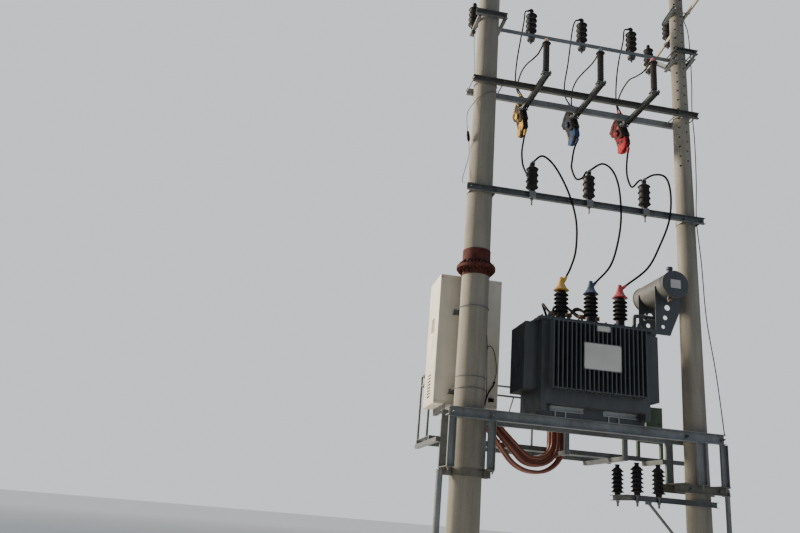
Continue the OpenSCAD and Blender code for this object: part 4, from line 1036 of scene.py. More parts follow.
class TRANSFORMER_OT_nuts(bpy.types.Operator):
    """Nuts on the rods of the arms, beams and collars, and softened edges"""
    bl_idname = "transformer.nuts"
    bl_label = "Nuts"

    def execute(self, context):
        size = context.scene.transformer_sizes.bolt_r
        arms = rod_ends(ARM_RODS)
        line_arm = at(POLE_GAP, 0, 0, (0, 0, LINE_ARM_TURN))
        for y in (-0.118, 0.118):
            for x, z in ((0.0987, 8.5525), (0.1039, 7.7725)):
                arms += [line_arm @ at(-x, y, z, LEFT), line_arm @ at(x, y, z, RIGHT)]
        pieces = [repeated(bolt(size, 0.03), arms), repeated(bolt(size * 1.265, 0.045), rod_ends(BEAM_RODS))]
        plate = right_r(2.135) + FIT + 0.006
        collar = [at(POLE_GAP + x, s * plate, 2.180, FRONT if s < 0 else BACK) for x in (-0.170, 0.180)
                  for s in (-1, 1)]
        collar += [at(s * 0.24, y, 2.168, DOWN) for s in (-1, 1) for y in (-0.195, 0.195)]
        collar += [at(x, -0.195, 2.225, DOWN) for x in (2.925, 2.648)] + [at(2.47, 0.195, 2.225, DOWN)]
        pieces.append(repeated(bolt(size * 1.1, 0.02), collar))
        present(joined(pieces), "Rod_nuts", "zinc", smooth=30)
        for node, width in EDGES.items():
            soften(node, width)
        for node in ("long_fins", "end_fins"):
            soften(node, FIN_EDGE, 3)
        return {"FINISHED"}


class TRANSFORMER_OT_arresters(bpy.types.Operator):
    """Ribbed surge arresters on their bars"""
    bl_idname = "transformer.arresters"
    bl_label = "Surge arresters"

    def execute(self, context):
        size = context.scene.transformer_sizes.bolt_r
        profile = [(0.021, 0.008), (0.024, 0.010), (0.024, 0.020), (0.020, 0.024), (0.020, 0.032), (0.030, 0.037)]
        rib = [(0.034, 0.001), (0.0395, 0.0035), (0.041, 0.0065), (0.0395, 0.010), (0.035, 0.016)]
        profile += sheds(rib, 0.040, 0.0245, 16)
        profile += [(0.034, 0.431), (0.054, 0.432), (0.056, 0.435), (0.052, 0.441), (0.036, 0.459),
                    (0.033, 0.462)]
        places = [at(phase_x(k), ARRESTER_Y, ARRESTER_Z) for k in PHASES]
        present(repeated(turned(profile, 28), places), "Arrester_bodies", "arrester",
                ["arresters"], smooth=40)
        plate = block((-0.0575, -0.045, 0), (0.0575, 0.045, 0.008), 0.0015)
        ear = block((-0.050, -0.052, -0.030), (-0.044, -0.044, 0.006), 0.001)
        bolts = [moved(bolt(size * 0.9, 0.012), at(x, -0.028, 0.008)) for x in (-0.046, 0.046)]
        under = [moved(bolt(size * 0.9, 0.025), at(x, -0.028, 0.0, DOWN)) for x in (-0.046, 0.046)]
        neck = turned([(0.026, 0.008), (0.026, 0.014), (0.0225, 0.016)], 6)
        foot = joined([plate, ear, neck, *bolts, *under])
        present(repeated(foot, places), "Arrester_feet", "zinc", smooth=30)
        return {"FINISHED"}


CUTOUT_Y, CUTOUT_Z, CUTOUT_LEAN = 0.305, 6.885, math.radians(-26)
COLUMN_LOW, COLUMN_TOP = -0.240, 0.180
TUBE_Y = 0.240


def cutout_frames():
    """Where the three leaning cutouts have their own origin."""
    return [at(phase_x(k), CUTOUT_Y, CUTOUT_Z, (CUTOUT_LEAN, 0, 0)) for k in PHASES]


class TRANSFORMER_OT_cutouts(bpy.types.Operator):
    """Leaning fuse cutouts: column, contacts, fuse tube and bracket"""
    bl_idname = "transformer.cutouts"
    bl_label = "Fuse cutouts"

    def execute(self, context):
        size = context.scene.transformer_sizes.bolt_r
        count = 10
        pitch = (COLUMN_TOP - COLUMN_LOW) / count
        shed = [(0.033, 0.10), (0.0455, 0.14), (0.048, 0.22), (0.0455, 0.32), (0.036, 0.58), (0.032, 0.80)]
        profile = [(0.028, COLUMN_LOW), (0.032, COLUMN_LOW + 0.002)]
        profile += sheds([(r, share * pitch) for r, share in shed], COLUMN_LOW, pitch, count)
        profile += [(0.032, COLUMN_TOP - 0.001), (0.028, COLUMN_TOP)]
        frames = cutout_frames()
        present(repeated(turned(profile, 28), frames), "Cutout_columns", "polymer",
                ["cutouts"], smooth=40)
        tube = stand([(0.0145, -0.290), (0.015, -0.288), (0.015, 0.060), (0.0135, 0.064), (0.0135, 0.118),
                      (0.012, 0.120)], 18, 0, TUBE_Y, 0)
        present(repeated(tube, frames), "Fuse_tubes", "fibre")
        band = turned([(0.0325, -0.022), (0.0385, -0.020), (0.0385, 0.020), (0.0325, 0.022)], 24)
        lug = block((-0.014, -0.066, -0.019), (0.014, -0.034, 0.019), 0.002)
        hinge = stand([(0.008, -0.022), (0.010, -0.020), (0.010, 0.020), (0.008, 0.022)], 12, 0, TUBE_Y,
                      -0.235, RIGHT)
        ferrule = stand([(0.0165, -0.262), (0.018, -0.258), (0.018, -0.205), (0.0165, -0.200)], 16, 0, TUBE_Y, 0)
        upper = stand([(0.0165, 0.020), (0.018, 0.024), (0.018, 0.070), (0.0165, 0.074)], 16, 0, TUBE_Y, 0)
        present(repeated(joined([band, lug, hinge, ferrule, upper]), frames), "Cutout_contacts", "zinc")
        brackets = []
        for x in map(phase_x, PHASES):
            brackets.append(block((x - 0.030, 0.230, 6.833), (x + 0.030, 0.300, 6.875), 0.003))
            brackets.append(moved(bolt(size, 0.02), at(x - 0.030, 0.262, 6.854, LEFT)))
            brackets.append(moved(bolt(size, 0.02), at(x + 0.030, 0.262, 6.854, RIGHT)))
        present(joined(brackets), "Cutout_brackets", "dark_steel", smooth=30)
        return {"FINISHED"}


# Outlines of the folded covers, in a cutout's own YZ plane
UPPER_COVER = [(-0.048, 0.180), (-0.048, 0.225), (0, 0.250), (0.090, 0.248), (0.200, 0.236), (0.290, 0.190),
               (0.262, 0.060), (0.224, 0.023), (0.205, 0.060), (0.185, 0.150), (0.100, 0.190), (0.048, 0.180)]
SIDE_FOLD = [(0.030, -0.190), (0.040, 0.190), (0.120, 0.205), (0.215, 0.130), (0.222, 0.040), (0.216, -0.110),
             (0.180, -0.190), (0.100, -0.150)]
LOWER_COVER = [(-0.004, -0.340), (-0.010, -0.250), (0.048, -0.236), (0.110, -0.150), (0.160, -0.205),
               (0.262, -0.292), (0.230, -0.335), (0.176, -0.388), (0.095, -0.405), (0.030, -0.385)]
FLAP = [(0.080, -0.085), (0.085, 0.010), (0.120, 0.040), (0.165, 0.000), (0.140, -0.080), (0.105, -0.095)]
COVER_W = 0.094
ARRESTER_TOP = [(0.031, 0.0), (0.0325, 0.004), (0.029, 0.010), (0.022, 0.024), (0.015, 0.044), (0.010, 0.050)]
BUSHING_HOOD = [(0.031, 0.0), (0.087, 0.0), (0.090, 0.002), (0.089, 0.006), (0.074, 0.020), (0.058, 0.042),
                (0.044, 0.072), (0.034, 0.104), (0.028, 0.136), (0.020, 0.163), (0.014, 0.167)]


class TRANSFORMER_OT_caps(bpy.types.Operator):
    """Coloured hoods, folded covers and cord sockets of the three phases"""
    bl_idname = "transformer.caps"
    bl_label = "Coloured caps"

    def execute(self, context):
        frames = cutout_frames()
        for k, colour in enumerate(("yellow", "blue", "red")):
            upper = crumple(slab(UPPER_COVER, COVER_W - 0.022, 0.014, 3), 0.045, 0.020)
            fold = crumple(slab(SIDE_FOLD, COVER_W - 0.034, 0.016, 3), 0.040, 0.024)
            lower = crumple(slab(LOWER_COVER, COVER_W - 0.022, 0.014, 3), 0.040, 0.020)
            flap = moved(crumple(slab(FLAP, 0.008, 0.002, 1), 0.030, 0.016), at(-COVER_W / 2 - 0.010, 0, 0))
            covers = moved(joined([upper, fold]), frames[k])
            folds = moved(joined([lower, flap]), frames[k])
            top = stand(ARRESTER_TOP, 24, phase_x(PHASES[k]), ARRESTER_Y, ARRESTER_Z + 0.462)
            hood = stand(BUSHING_HOOD, 32, TANK_X + PHASES[k] * HIGH_GAP, HIGH_Y, LID_Z + 0.378)
            jumper = JUMPERS["jumper_" + colour]
            line, arrester = LEADS["line_lead_" + colour], LEADS["arrester_lead_" + colour]
            boots = [tapered_socket(jumper[-1], jumper[-2], 0.0155, 0.060),
                     tapered_socket(jumper[0], jumper[1], 0.0145, 0.070),
                     tapered_socket(line[-1], line[-2], 0.0115, 0.060),
                     tapered_socket(arrester[-1], arrester[-2], 0.0115, 0.050),
                     tapered_socket(arrester[0], arrester[1], 0.0115, 0.040)]
            present(joined([top, hood, *boots]), "Caps_" + colour, colour,
                    ["caps_" + colour], smooth=50)
            present(covers, "Cutout_covers_" + colour, colour + "_cover", smooth=60)
            present(folds, "Cutout_folds_" + colour, colour + "_fold", smooth=60)
        return {"FINISHED"}


class TRANSFORMER_OT_bushings(bpy.types.Operator):
    """High and low voltage bushings on the lid"""
    bl_idname = "transformer.bushings"
    bl_label = "Bushings"

    def execute(self, context):
        size = context.scene.transformer_sizes.bolt_r
        profile = [(0.066, 0), (0.070, 0.003), (0.070, 0.017), (0.066, 0.020), (0.052, 0.022), (0.050, 0.026),
                   (0.050, 0.116)]
        shed = [(0.056, -0.004), (0.080, -0.001), (0.085, 0.003), (0.083, 0.008), (0.066, 0.022), (0.056, 0.034)]
        profile += sheds(shed, 0.123, 0.049, 5)
        profile += [(0.056, 0.360), (0.046, 0.362), (0.046, 0.378), (0.030, 0.3785), (0.030, 0.438),
                    (0.027, 0.440)]
        places = [at(TANK_X + k * HIGH_GAP, HIGH_Y, LID_Z) for k in PHASES]
        present(repeated(turned(profile, 36), places), "High_bushing_bodies", "polymer",
                ["high_bushings"], smooth=42)
        turns = [math.radians(60 * k + 30) for k in range(6)]
        ring = [at(0.060 * math.cos(turn), 0.060 * math.sin(turn), 0.020) for turn in turns]
        clamps = repeated(bolt(size * 0.6, 0.006), [place @ spot for place in places for spot in ring])
        present(clamps, "High_bushing_nuts", "zinc", smooth=30)

        profile = [(0.042, 0), (0.045, 0.003), (0.045, 0.013), (0.042, 0.015), (0.030, 0.017)]
        shed = [(0.027, 0.005), (0.038, 0.008), (0.040, 0.012), (0.037, 0.016), (0.027, 0.024)]
        profile += sheds(shed, 0.015, 0.032, 4)
        profile += [(0.026, 0.141), (0.020, 0.143)]
        spots = [at(TANK_X - 0.026 + k * LOW_GAP, LOW_Y, LID_Z) for k in (-1.5, -0.5, 0.5, 1.5)]
        present(repeated(turned(profile, 28), spots), "Low_bushing_bodies", "porcelain",
                ["low_bushings"], smooth=40)
        stem = turned([(0.018, 0.142), (0.018, 0.152), (0.014, 0.154), (0.014, 0.190)], 16)
        nut = turned([(0.021, 0.150), (0.023, 0.153), (0.023, 0.166), (0.021, 0.169)], 6)
        palm = block((-0.048, -0.008, 0.187), (0.048, 0.008, 0.239), 0.002)
        bolts = [moved(bolt(size * 0.8, 0.010), at(x, -0.008, 0.213, FRONT)) for x in (-0.024, 0.024)]
        present(repeated(joined([stem, nut, palm, *bolts]), spots), "Low_bushing_palms", "brass",
                smooth=35)
        return {"FINISHED"}


# Ducts: start x, lean, lowest z, right leg's x, plane y, tail's end x and its sideways swing
DUCTS = {"low_ducts": ((0.238, 40, 2.245, 1.314, 0.500, 1.556, 0.080),
                       (0.306, 45, 2.325, 1.241, 0.500, 1.378, -0.020),
                       (0.371, 48, 2.404, 1.168, 0.500, 1.045, -0.300)),
         "back_ducts": ((0.340, 47, 2.365, 1.205, 0.546, 1.246, 0.0),
                        (0.238, 40, 2.245, 1.314, 0.592, 1.602, 0.120),
                        (0.306, 45, 2.325, 1.241, 0.592, 1.424, -0.020),
                        (0.371, 48, 2.404, 1.168, 0.592, 1.200, -0.020))}
ALL_DUCTS = [duct for group in DUCTS.values() for duct in group]
DUCT_R, TAIL_R = 0.021, 0.016
DUCT_TOP = LID_Z - 0.017
PALM_Z = LID_Z + 0.213


def arc(x, z, y, r, first, last, steps):
    """Points of an arc in an XZ plane, between two angles in degrees."""
    turns = [math.radians(first + (last - first) * k / steps) for k in range(steps + 1)]
    return [(x + r * math.cos(t), y, z + r * math.sin(t)) for t in turns]


def duct_route(duct):
    """Down from the cabinet, round the bend and up towards the lid."""
    start, lean, low, right, y = duct[:5]
    turn = math.radians(lean)
    neck_x = start + 0.030 * (1 - math.cos(turn))
    neck_z = CABINET_Z - 0.004 - 0.030 * math.sin(turn)
    left, far = 0.940, 0.964
    bend = (math.cos(turn) * (left - neck_x) - math.sin(turn) * (neck_z - low)) / (1 - math.sin(turn))
    return ([(start, y, CABINET_Z)] + arc(start + 0.030, CABINET_Z - 0.004, y, 0.030, 180, 180 + lean, 6)
            + arc(left, low + bend, y, bend, 180 + lean, 270, 16)
            + arc(far, low + right - far, y, right - far, 270, 360, 24) + [(right, y, DUCT_TOP)])


def tail_route(duct):
    """One cubic curve from a duct's end over to a palm."""
    x, y, end, swing = duct[3:]
    start, last = Vector((x, y, DUCT_TOP + 0.020)), Vector((end, 0.2083, PALM_Z))
    handles = (start, start + Vector((swing, 0, LID_Z + 0.723 - start.z)), last + Vector((0, 0.200, 0)), last)
    route = [Vector((x, y, DUCT_TOP))]
    for k in range(29):
        t = k / 28
        route.append((1 - t) ** 3 * handles[0] + 3 * t * (1 - t) ** 2 * handles[1]
                     + 3 * t * t * (1 - t) * handles[2] + t ** 3 * handles[3])
    return route


class TRANSFORMER_OT_ducts(bpy.types.Operator):
    """Cable ducts from the cabinet, and the tails from their ends to the palms"""
    bl_idname = "transformer.ducts"
    bl_label = "Ducts and tails"

    def execute(self, context):
        for node, group in DUCTS.items():
            bodies = [pipe(duct_route(duct), DUCT_R, 4) for duct in group]
            present(joined(bodies), node.capitalize() + "_bodies", "duct", [node], smooth=50)
        tails, lugs = [], []
        for duct in ALL_DUCTS:
            route = tail_route(duct)
            tails.append(pipe(route, TAIL_R, 3))
            end = route[-1]
            barrel = turned([(0.0165, 0), (0.0175, 0.002), (0.0175, 0.038), (0.0165, 0.040)], 14)
            lugs.append(moved(barrel, along(end + Vector((0, 0.012, 0)), route[-4])))
            lugs.append(stand([(0.0235, -0.004), (0.0245, 0), (0.0245, 0.010), (0.020, 0.020),
                               (0.0165, 0.024)], 16, duct[3], duct[4], DUCT_TOP))
        present(joined(tails), "Low_tail_cables", "cable", ["low_tails"], smooth=50)
        present(joined(lugs), "Low_tail_sleeves", "cable")
        return {"FINISHED"}


PLATE_FACE = -0.474
BARE_PLATES = ((TANK_X - 0.198, 3.311, TANK_X + 0.242, 3.613), (TANK_X - 0.048, 3.748, TANK_X + 0.116, 3.820))
LID_BOLT_Y = 0.368
LID_EDGE = 0.032


class TRANSFORMER_OT_tank_details(bpy.types.Operator):
    """Lid bolts, lifting lugs, pipework and the conservator's fittings"""
    bl_idname = "transformer.tank_details"
    bl_label = "Tank and conservator details"

    def execute(self, context):
        size = context.scene.transformer_sizes.bolt_r
        places = []
        for k in range(13):
            x = 0.690 + k * 0.108
            for y in (-LID_BOLT_Y, LID_BOLT_Y):
                places += [at(x, y, LID_Z, (0, 0, k * 0.9)), at(x, y, LID_Z - LID_EDGE, DOWN)]
        for k in range(1, 7):
            y = (2 * k / 7 - 1) * LID_BOLT_Y
            for x in (0.682, 1.994):
                places += [at(x, y, LID_Z, (0, 0, k * 0.7)), at(x, y, LID_Z - LID_EDGE, DOWN)]
        present(repeated(bolt(size * 0.8, 0.008), places), "Lid_bolts", "tank_bolts", smooth=30)

        eye = slab([(-0.05, 0), (-0.05, 0.035), (-0.02, 0.075), (0.02, 0.075), (0.05, 0.035), (0.05, 0)],
                   0.012, 0.002)
        cut(eye, stand([(0.016, -0.02), (0.016, 0.02)], 20, 0, 0, 0.042, RIGHT))
        lugs = repeated(eye, [at(x, y, LID_Z) for x in (0.80, 1.88) for y in (-0.30, 0.30)])
        present(lugs, "Lifting_lugs", "tank", smooth=30)

        x, z = DRUM_X, DRUM_Z
        filler = turned([(0.026, 0.158), (0.026, 0.186), (0.038, 0.188), (0.038, 0.214), (0.034, 0.220),
                         (0.014, 0.220)], 20)
        pieces = [moved(filler, at(x - 0.036, -0.312, z))]
        drain = turned([(0.0155, -0.214), (0.016, -0.212), (0.016, -0.152)], 16)
        nut = turned([(0.022, -0.190), (0.024, -0.186), (0.024, -0.168), (0.022, -0.164)], 6)
        pieces += [moved(drain, at(x - 0.060, -0.322, z)), moved(nut, at(x - 0.060, -0.322, z))]
        elbow = smooth_route([(1.944, -0.060, LID_Z), (1.944, -0.060, LID_Z + 0.150),
                              (1.952, -0.060, LID_Z + 0.214), (1.990, -0.060, LID_Z + 0.233),
                              (2.240, -0.060, LID_Z + 0.233), (2.280, -0.060, LID_Z + 0.246),
                              (2.294, -0.060, LID_Z + 0.300), (2.294, -0.060, LID_Z + 0.432)], 5)
        pieces.append(pipe(elbow, 0.0235, 4))
        for place, spin in (((1.944, -0.060, LID_Z), UP), ((2.080, -0.060, LID_Z + 0.233), RIGHT)):
            flange = turned([(0.043, 0.0), (0.045, 0.002), (0.045, 0.012), (0.043, 0.014)], 24)
            pieces.append(moved(flange, at(*place, spin)))
        present(joined(pieces), "Oil_pipework", "tank", ["tank_fittings"], smooth=40)

        end_y = -0.372
        band = turned([(0.157, 0), (0.160, 0.001), (0.160, 0.003), (0.152, 0.004), (0.150, 0.004)], 64)
        face = [moved(band, at(x, end_y, z, FRONT))]
        stiff = turned([(0.060, 0), (0.060, 0.004), (0.052, 0.006)], 40)
        face.append(moved(stiff, at(x, end_y + 0.003, z, FRONT)))
        plate = block((x - 0.064, end_y - 0.006, z - 0.052), (x + 0.062, end_y - 0.003, z + 0.052), 0.001)
        present(joined(face), "Conservator_end_ring", "drum_end", smooth=35)
        present(plate, "Conservator_bare_plate", "plate", smooth=0)
        tap = turned([(0.013, 0), (0.015, 0.002), (0.015, 0.020), (0.010, 0.024), (0.010, 0.040),
                      (0.016, 0.043), (0.016, 0.052)], 18)
        present(moved(tap, at(x - 0.060, -0.310, z - 0.200, FRONT)), "Conservator_drain_tap", "brass")

        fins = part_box("long_fins")
        bars = []
        for side in (-1, 1):
            face_y = side * (abs(fins[0][1]) - 0.014)
            for height in (fins[0][2] + 0.002, fins[1][2] - 0.012):
                near, far = sorted((face_y, face_y + side * 0.012))
                bars.append(block((fins[0][0] + 0.003, near, height),
                                  (fins[1][0] - 0.003, far, height + 0.010), 0.002))
        present(joined(bars), "Fin_edge_bars", "tank", smooth=30)
        edges = []
        for x0, z0, x1, z1 in BARE_PLATES:
            sides = ((x0, z0, x1, z0 + 0.008), (x0, z1 - 0.008, x1, z1), (x0, z0, x0 + 0.008, z1),
                     (x1 - 0.008, z0, x1, z1))
            for left, low, right, high in sides:
                edges.append(block((left, PLATE_FACE - 0.0008, low), (right, PLATE_FACE + 0.001, high), 0.0003))
            for x in (x0 + 0.014, x1 - 0.014):
                for z in (z0 + 0.014, z1 - 0.014):
                    edges.append(stand([(0.004, 0), (0.0035, 0.0012), (0.0015, 0.002)], 10, x, PLATE_FACE, z,
                                       FRONT))
        present(joined(edges), "Bare_plate_rims", "zinc", smooth=30)
        return {"FINISHED"}


BAND_HEIGHTS = (2.990, 3.925)
BEARERS = (-0.240, 0.130)
# Louvres on both side walls: height of the lowest, how many, and their pitch
LOUVRES = ((3.760, 6, 0.029), (2.975, 8, 0.036))
# Thin cables beside the cabinet: points, steps between them, radius and resolution
CONTROL_CABLES = (
    ([(0.139, -0.105, 3.640), (0.165, -0.040, 3.560), (0.215, 0.120, 3.530), (0.241, 0.205, 3.572),
      (0.264, 0.215, 3.598), (0.302, 0.215, 3.579), (0.335, 0.215, 3.499), (0.358, 0.215, 3.384),
      (0.362, 0.217, 3.279), (0.346, 0.220, 3.206)], 6, 0.0035, 2),
    ([(0.338, 0.218, 3.150), (0.304, 0.214, 3.098), (0.271, 0.210, 3.037), (0.250, 0.205, 2.978),
      (0.236, 0.200, 2.900)], 5, 0.0085, 3),
    ([(0.159, -0.066, 3.54), (0.170, -0.040, 3.40), (0.178, -0.030, 3.237), (0.181, -0.040, 3.10),
      (0.175, -0.055, 2.95)], 5, 0.0035, 2))


def cabinet_shell(low, high):
    """The hollow box, open behind, with slots in its side walls."""
    shell = block(low, high, 0.006, 3)
    cut(shell, block((low[0] + 0.02, low[1] + 0.02, low[2] + 0.02),
                     (high[0] - 0.02, high[1] + 0.05, high[2] - 0.02)))
    heights = [first + k * pitch for first, count, pitch in LOUVRES for k in range(count)]
    slots = [at(x, 0.515, z) for z in heights for x in (low[0], high[0])]
    cut(shell, repeated(block((-0.014, -0.085, -0.009), (0.014, 0.085, 0.009), 0.003), slots))
    return shell


def cabinet_steel(size, low, high):
    """The bearers under the cabinet and the bands that hold it to the pole."""
    steel = []
    for z in BAND_HEIGHTS:
        r, back, middle = left_r(z) + 0.004, left_r(z) + FIT, z + 0.036
        steel.append(block((-0.200, back, z), (0.200, low[1], z + 0.006), 0.001))
        steel.append(block((-0.200, back, z), (0.200, back + 0.006, z + 0.050), 0.001))
        turns = [math.pi * k / 32 for k in range(33)]
        band = [(-r * math.cos(turn), -r * math.sin(turn), middle) for turn in turns]
        steel.append(pipe([(-r, back + 0.020, middle), *band, (r, back + 0.020, middle)], 0.006, 3))
        steel.append(repeated(bolt(size * 0.9, 0.012), [at(s * r, back + 0.006, middle, BACK) for s in (-1, 1)]))
    back = left_r(2.688) + FIT
    for x in BEARERS:
        steel.append(block((x, back, BEAM_Z), (x + 0.050, high[1], BEAM_Z + 0.006), 0.001))
        steel.append(block((x, back, BEAM_Z), (x + 0.006, high[1], CABINET_Z), 0.001))
    return joined(steel)


class TRANSFORMER_OT_cabinet(bpy.types.Operator):
    """Switch cabinet with its louvres, hinges, handles and gland plate"""
    bl_idname = "transformer.cabinet"
    bl_label = "Switch cabinet"

    def execute(self, context):
        low, high = CABINET_LOW, CABINET_HIGH
        present(cabinet_shell(low, high), "Cabinet_shell", "cabinet", ["cabinet"], smooth=35)
        # Near-black sheets just inside the slots, painted shade for the inside of the cabinet.
        louvre_shade_sheets = []
        for first, count, pitch in LOUVRES:
            for x in (low[0] + 0.003, high[0] - 0.005):
                louvre_shade_sheets.append(block((x, 0.42, first - 0.01),
                                     (x + 0.002, 0.61, first + (count - 1) * pitch + 0.01), 0.0004))
        present(joined(louvre_shade_sheets), "Cabinet_louvre_painted_shade", "dark_hole", smooth=0)
        near, far = low[1] - 0.0015, low[1] + 0.001
        seams = [block((x, near, 2.90), (x + 0.028, far, 4.385), 0.0007) for x in (-0.352, 0.356)]
        seams += [block((-0.352, near, z), (0.384, far, z + 0.028), 0.0007) for z in (2.882, 4.375)]
        present(joined(seams), "Cabinet_folded_edges", "cabinet", smooth=0)

        leaves = [block((x, high[1], 2.874), (x + 0.376, 0.794, 4.412), 0.004, 2) for x in (-0.361, 0.017)]
        panels = [block((x - 0.13, 0.7935, 3.05), (x + 0.13, 0.7965, 4.25), 0.0012) for x in (-0.150, 0.200)]
        present(joined(leaves + panels), "Cabinet_door_leaves", "cabinet", ["cabinet_doors"],
                smooth=35)
        barrel = [(0.007, -0.045), (0.009, -0.043), (0.009, 0.043), (0.007, 0.045)]
        hinges = [stand(barrel, 14, x, 0.799, z) for x in (-0.352, 0.384) for z in (3.05, 3.64, 4.24)]
        lock = block((-0.010, 0.794, 3.58), (0.045, 0.806, 3.72), 0.004, 2)
        grip = smooth_route([(0.030, 0.806, 3.60), (0.030, 0.834, 3.615), (0.030, 0.834, 3.685),
                             (0.030, 0.806, 3.70)], 4)
        handle = pipe(grip, 0.006, 3)
        present(joined([*hinges, lock, handle]), "Cabinet_hinges_and_handle", "zinc", smooth=35)

        glands = [block((0.190, 0.440, CABINET_Z - 0.004), (0.392, 0.700, CABINET_Z), 0.001)]
        gland = [(0.030, -0.016), (0.032, -0.013), (0.032, -0.005), (0.026, -0.003)]
        glands += [stand(gland, 10, duct[0], duct[4], CABINET_Z) for duct in ALL_DUCTS]
        present(joined(glands), "Cabinet_glands", "zinc", smooth=35)
        box = block((0.300, 0.206, 2.950), (0.345, low[1], 2.992), 0.003, 2)
        boss = stand([(0.014, 0), (0.015, 0.002), (0.015, 0.014), (0.010, 0.016)], 14, 0.322, 0.206, 2.970, FRONT)
        plate = block((0.283, 0.227, 2.944), (0.300, low[1], 2.998), 0.001)
        present(joined([box, boss, plate]), "Cabinet_terminal_box", "dark_hole", smooth=30)
        cables = [pipe(smooth_route(points, steps), radius, sides)
                  for points, steps, radius, sides in CONTROL_CABLES]
        sleeve = [(0.008, -0.02), (0.011, -0.015), (0.011, 0.015), (0.008, 0.02)]
        cables.append(stand(sleeve, 12, 0.342, 0.219, 3.172, (0, 0.3, 0)))
        present(joined(cables), "Cabinet_control_cable", "cable")
        steel = cabinet_steel(context.scene.transformer_sizes.bolt_r, low, high)
        present(steel, "Cabinet_bands_and_bearers", "dark_steel", ["cabinet_brackets"],
                smooth=40)
        return {"FINISHED"}


RAIL_LEFT, RAIL_RIGHT, RAIL_NEAR, RAIL_FAR = WALK_LEFT + 0.016, 1.438, 0.834, WALK_FAR - 0.016
RAIL_POSTS = ((RAIL_LEFT, RAIL_NEAR), (RAIL_LEFT, RAIL_FAR), (0.430, RAIL_FAR), (1.219, RAIL_FAR),
              (RAIL_RIGHT, RAIL_FAR))


def diamond_mesh(low, high, pitch, wire):
    """Expanded metal between two corners: a grid set on its points, trimmed and turned to strands."""
    wide, deep = high[0] - low[0], high[1] - low[1]
    cells = int((wide + deep * 2.2) / pitch) + 2
    deselect()
    bpy.ops.mesh.primitive_grid_add(x_subdivisions=cells, y_subdivisions=cells, size=cells * pitch / math.sqrt(2))
    piece = settle(bpy.context.object)
    piece.rotation_euler[2] = math.radians(45)
    settle(piece)
    piece.scale = (1, 0.42, 1)
    piece.location = ((low[0] + high[0]) / 2, (low[1] + high[1]) / 2, (low[2] + high[2]) / 2)
    settle(piece)
    bpy.ops.object.mode_set(mode="EDIT")
    for spot, facing in ((low, (-1, 0, 0)), (low, (0, -1, 0)), (high, (1, 0, 0)), (high, (0, 1, 0))):
        bpy.ops.mesh.select_all(action="SELECT")
        bpy.ops.mesh.bisect(plane_co=spot, plane_no=facing, clear_outer=True)
    bpy.ops.object.mode_set(mode="OBJECT")
    return modify(piece, "WIREFRAME", thickness=wire, offset=0, use_even_offset=False, use_relative_offset=False)


class TRANSFORMER_OT_walkway(bpy.types.Operator):
    """Expanded metal floor, its edge angles and the guard rail"""
    bl_idname = "transformer.walkway"
    bl_label = "Walkway"

    def execute(self, context):
        sizes = context.scene.transformer_sizes
        low = (WALK_LEFT + 0.006, WALK_NEAR + 0.006, WALK_Z - 0.0035)
        high = (WALK_RIGHT - 0.006, WALK_FAR - 0.006, WALK_Z - 0.0015)
        floor = diamond_mesh(low, high, sizes.mesh_pitch, 0.0045)
        rims = [block((WALK_LEFT, WALK_NEAR, WALK_Z - 0.005), (WALK_RIGHT, WALK_NEAR + 0.012, WALK_Z), 0.001),
                block((WALK_LEFT, WALK_FAR - 0.012, WALK_Z - 0.005), (WALK_RIGHT, WALK_FAR, WALK_Z), 0.001),
                block((WALK_LEFT, WALK_NEAR, WALK_Z - 0.005), (WALK_LEFT + 0.012, WALK_FAR, WALK_Z), 0.001),
                block((WALK_RIGHT - 0.012, WALK_NEAR, WALK_Z - 0.005), (WALK_RIGHT, WALK_FAR, WALK_Z), 0.001)]
        present(joined([floor, *rims]), "Walkway_mesh", "mesh", ["walkway_floor"], smooth=0)
        tubes = []
        for x, y in RAIL_POSTS:
            tubes.append(stand([(0.016, 0), (0.016, 0.792), (0.013, 0.804)], 20, x, y, WALK_Z))
            tubes.append(block((x - 0.016, y - 0.030, WALK_Z), (x + 0.030, y + 0.016, WALK_Z + 0.006), 0.001))
        for z in (WALK_Z + 0.680, WALK_Z + 0.804):
            corner = [(RAIL_LEFT, RAIL_FAR - 0.06, z), (RAIL_LEFT + 0.018, RAIL_FAR - 0.018, z),
                      (RAIL_LEFT + 0.06, RAIL_FAR, z)]
            tubes.append(pipe([(RAIL_LEFT, RAIL_NEAR, z), *corner, (RAIL_RIGHT, RAIL_FAR, z)], 0.0135, 4))
        tubes.append(pipe([(0.960, RAIL_FAR, WALK_Z + 0.680), (0.760, RAIL_FAR, WALK_Z + 0.004)], 0.010, 3))
        present(joined(tubes), "Guard_rail_tubes", "steel", ["walkway_rail"], smooth=45)
        places = [at(x, 0.2269, WALK_Z + up, BACK) for x in (1.240, 1.955) for up in (0.02, 0.16)]
        present(repeated(bolt(sizes.bolt_r, 0.015), places), "Walkway_hanger_bolts", "zinc",
                smooth=30)
        return {"FINISHED"}


# Down pipes: x, y, radius over the bands, sides, height of the top, and where the bands sit
DOWN_PIPES = ((-0.300, -0.060, 0.038, 40, 2.140, (0.7, 1.5, 2.13)),
              (3.035, -0.040, 0.030, 36, 2.217, (0.7, 1.5, 2.205)))


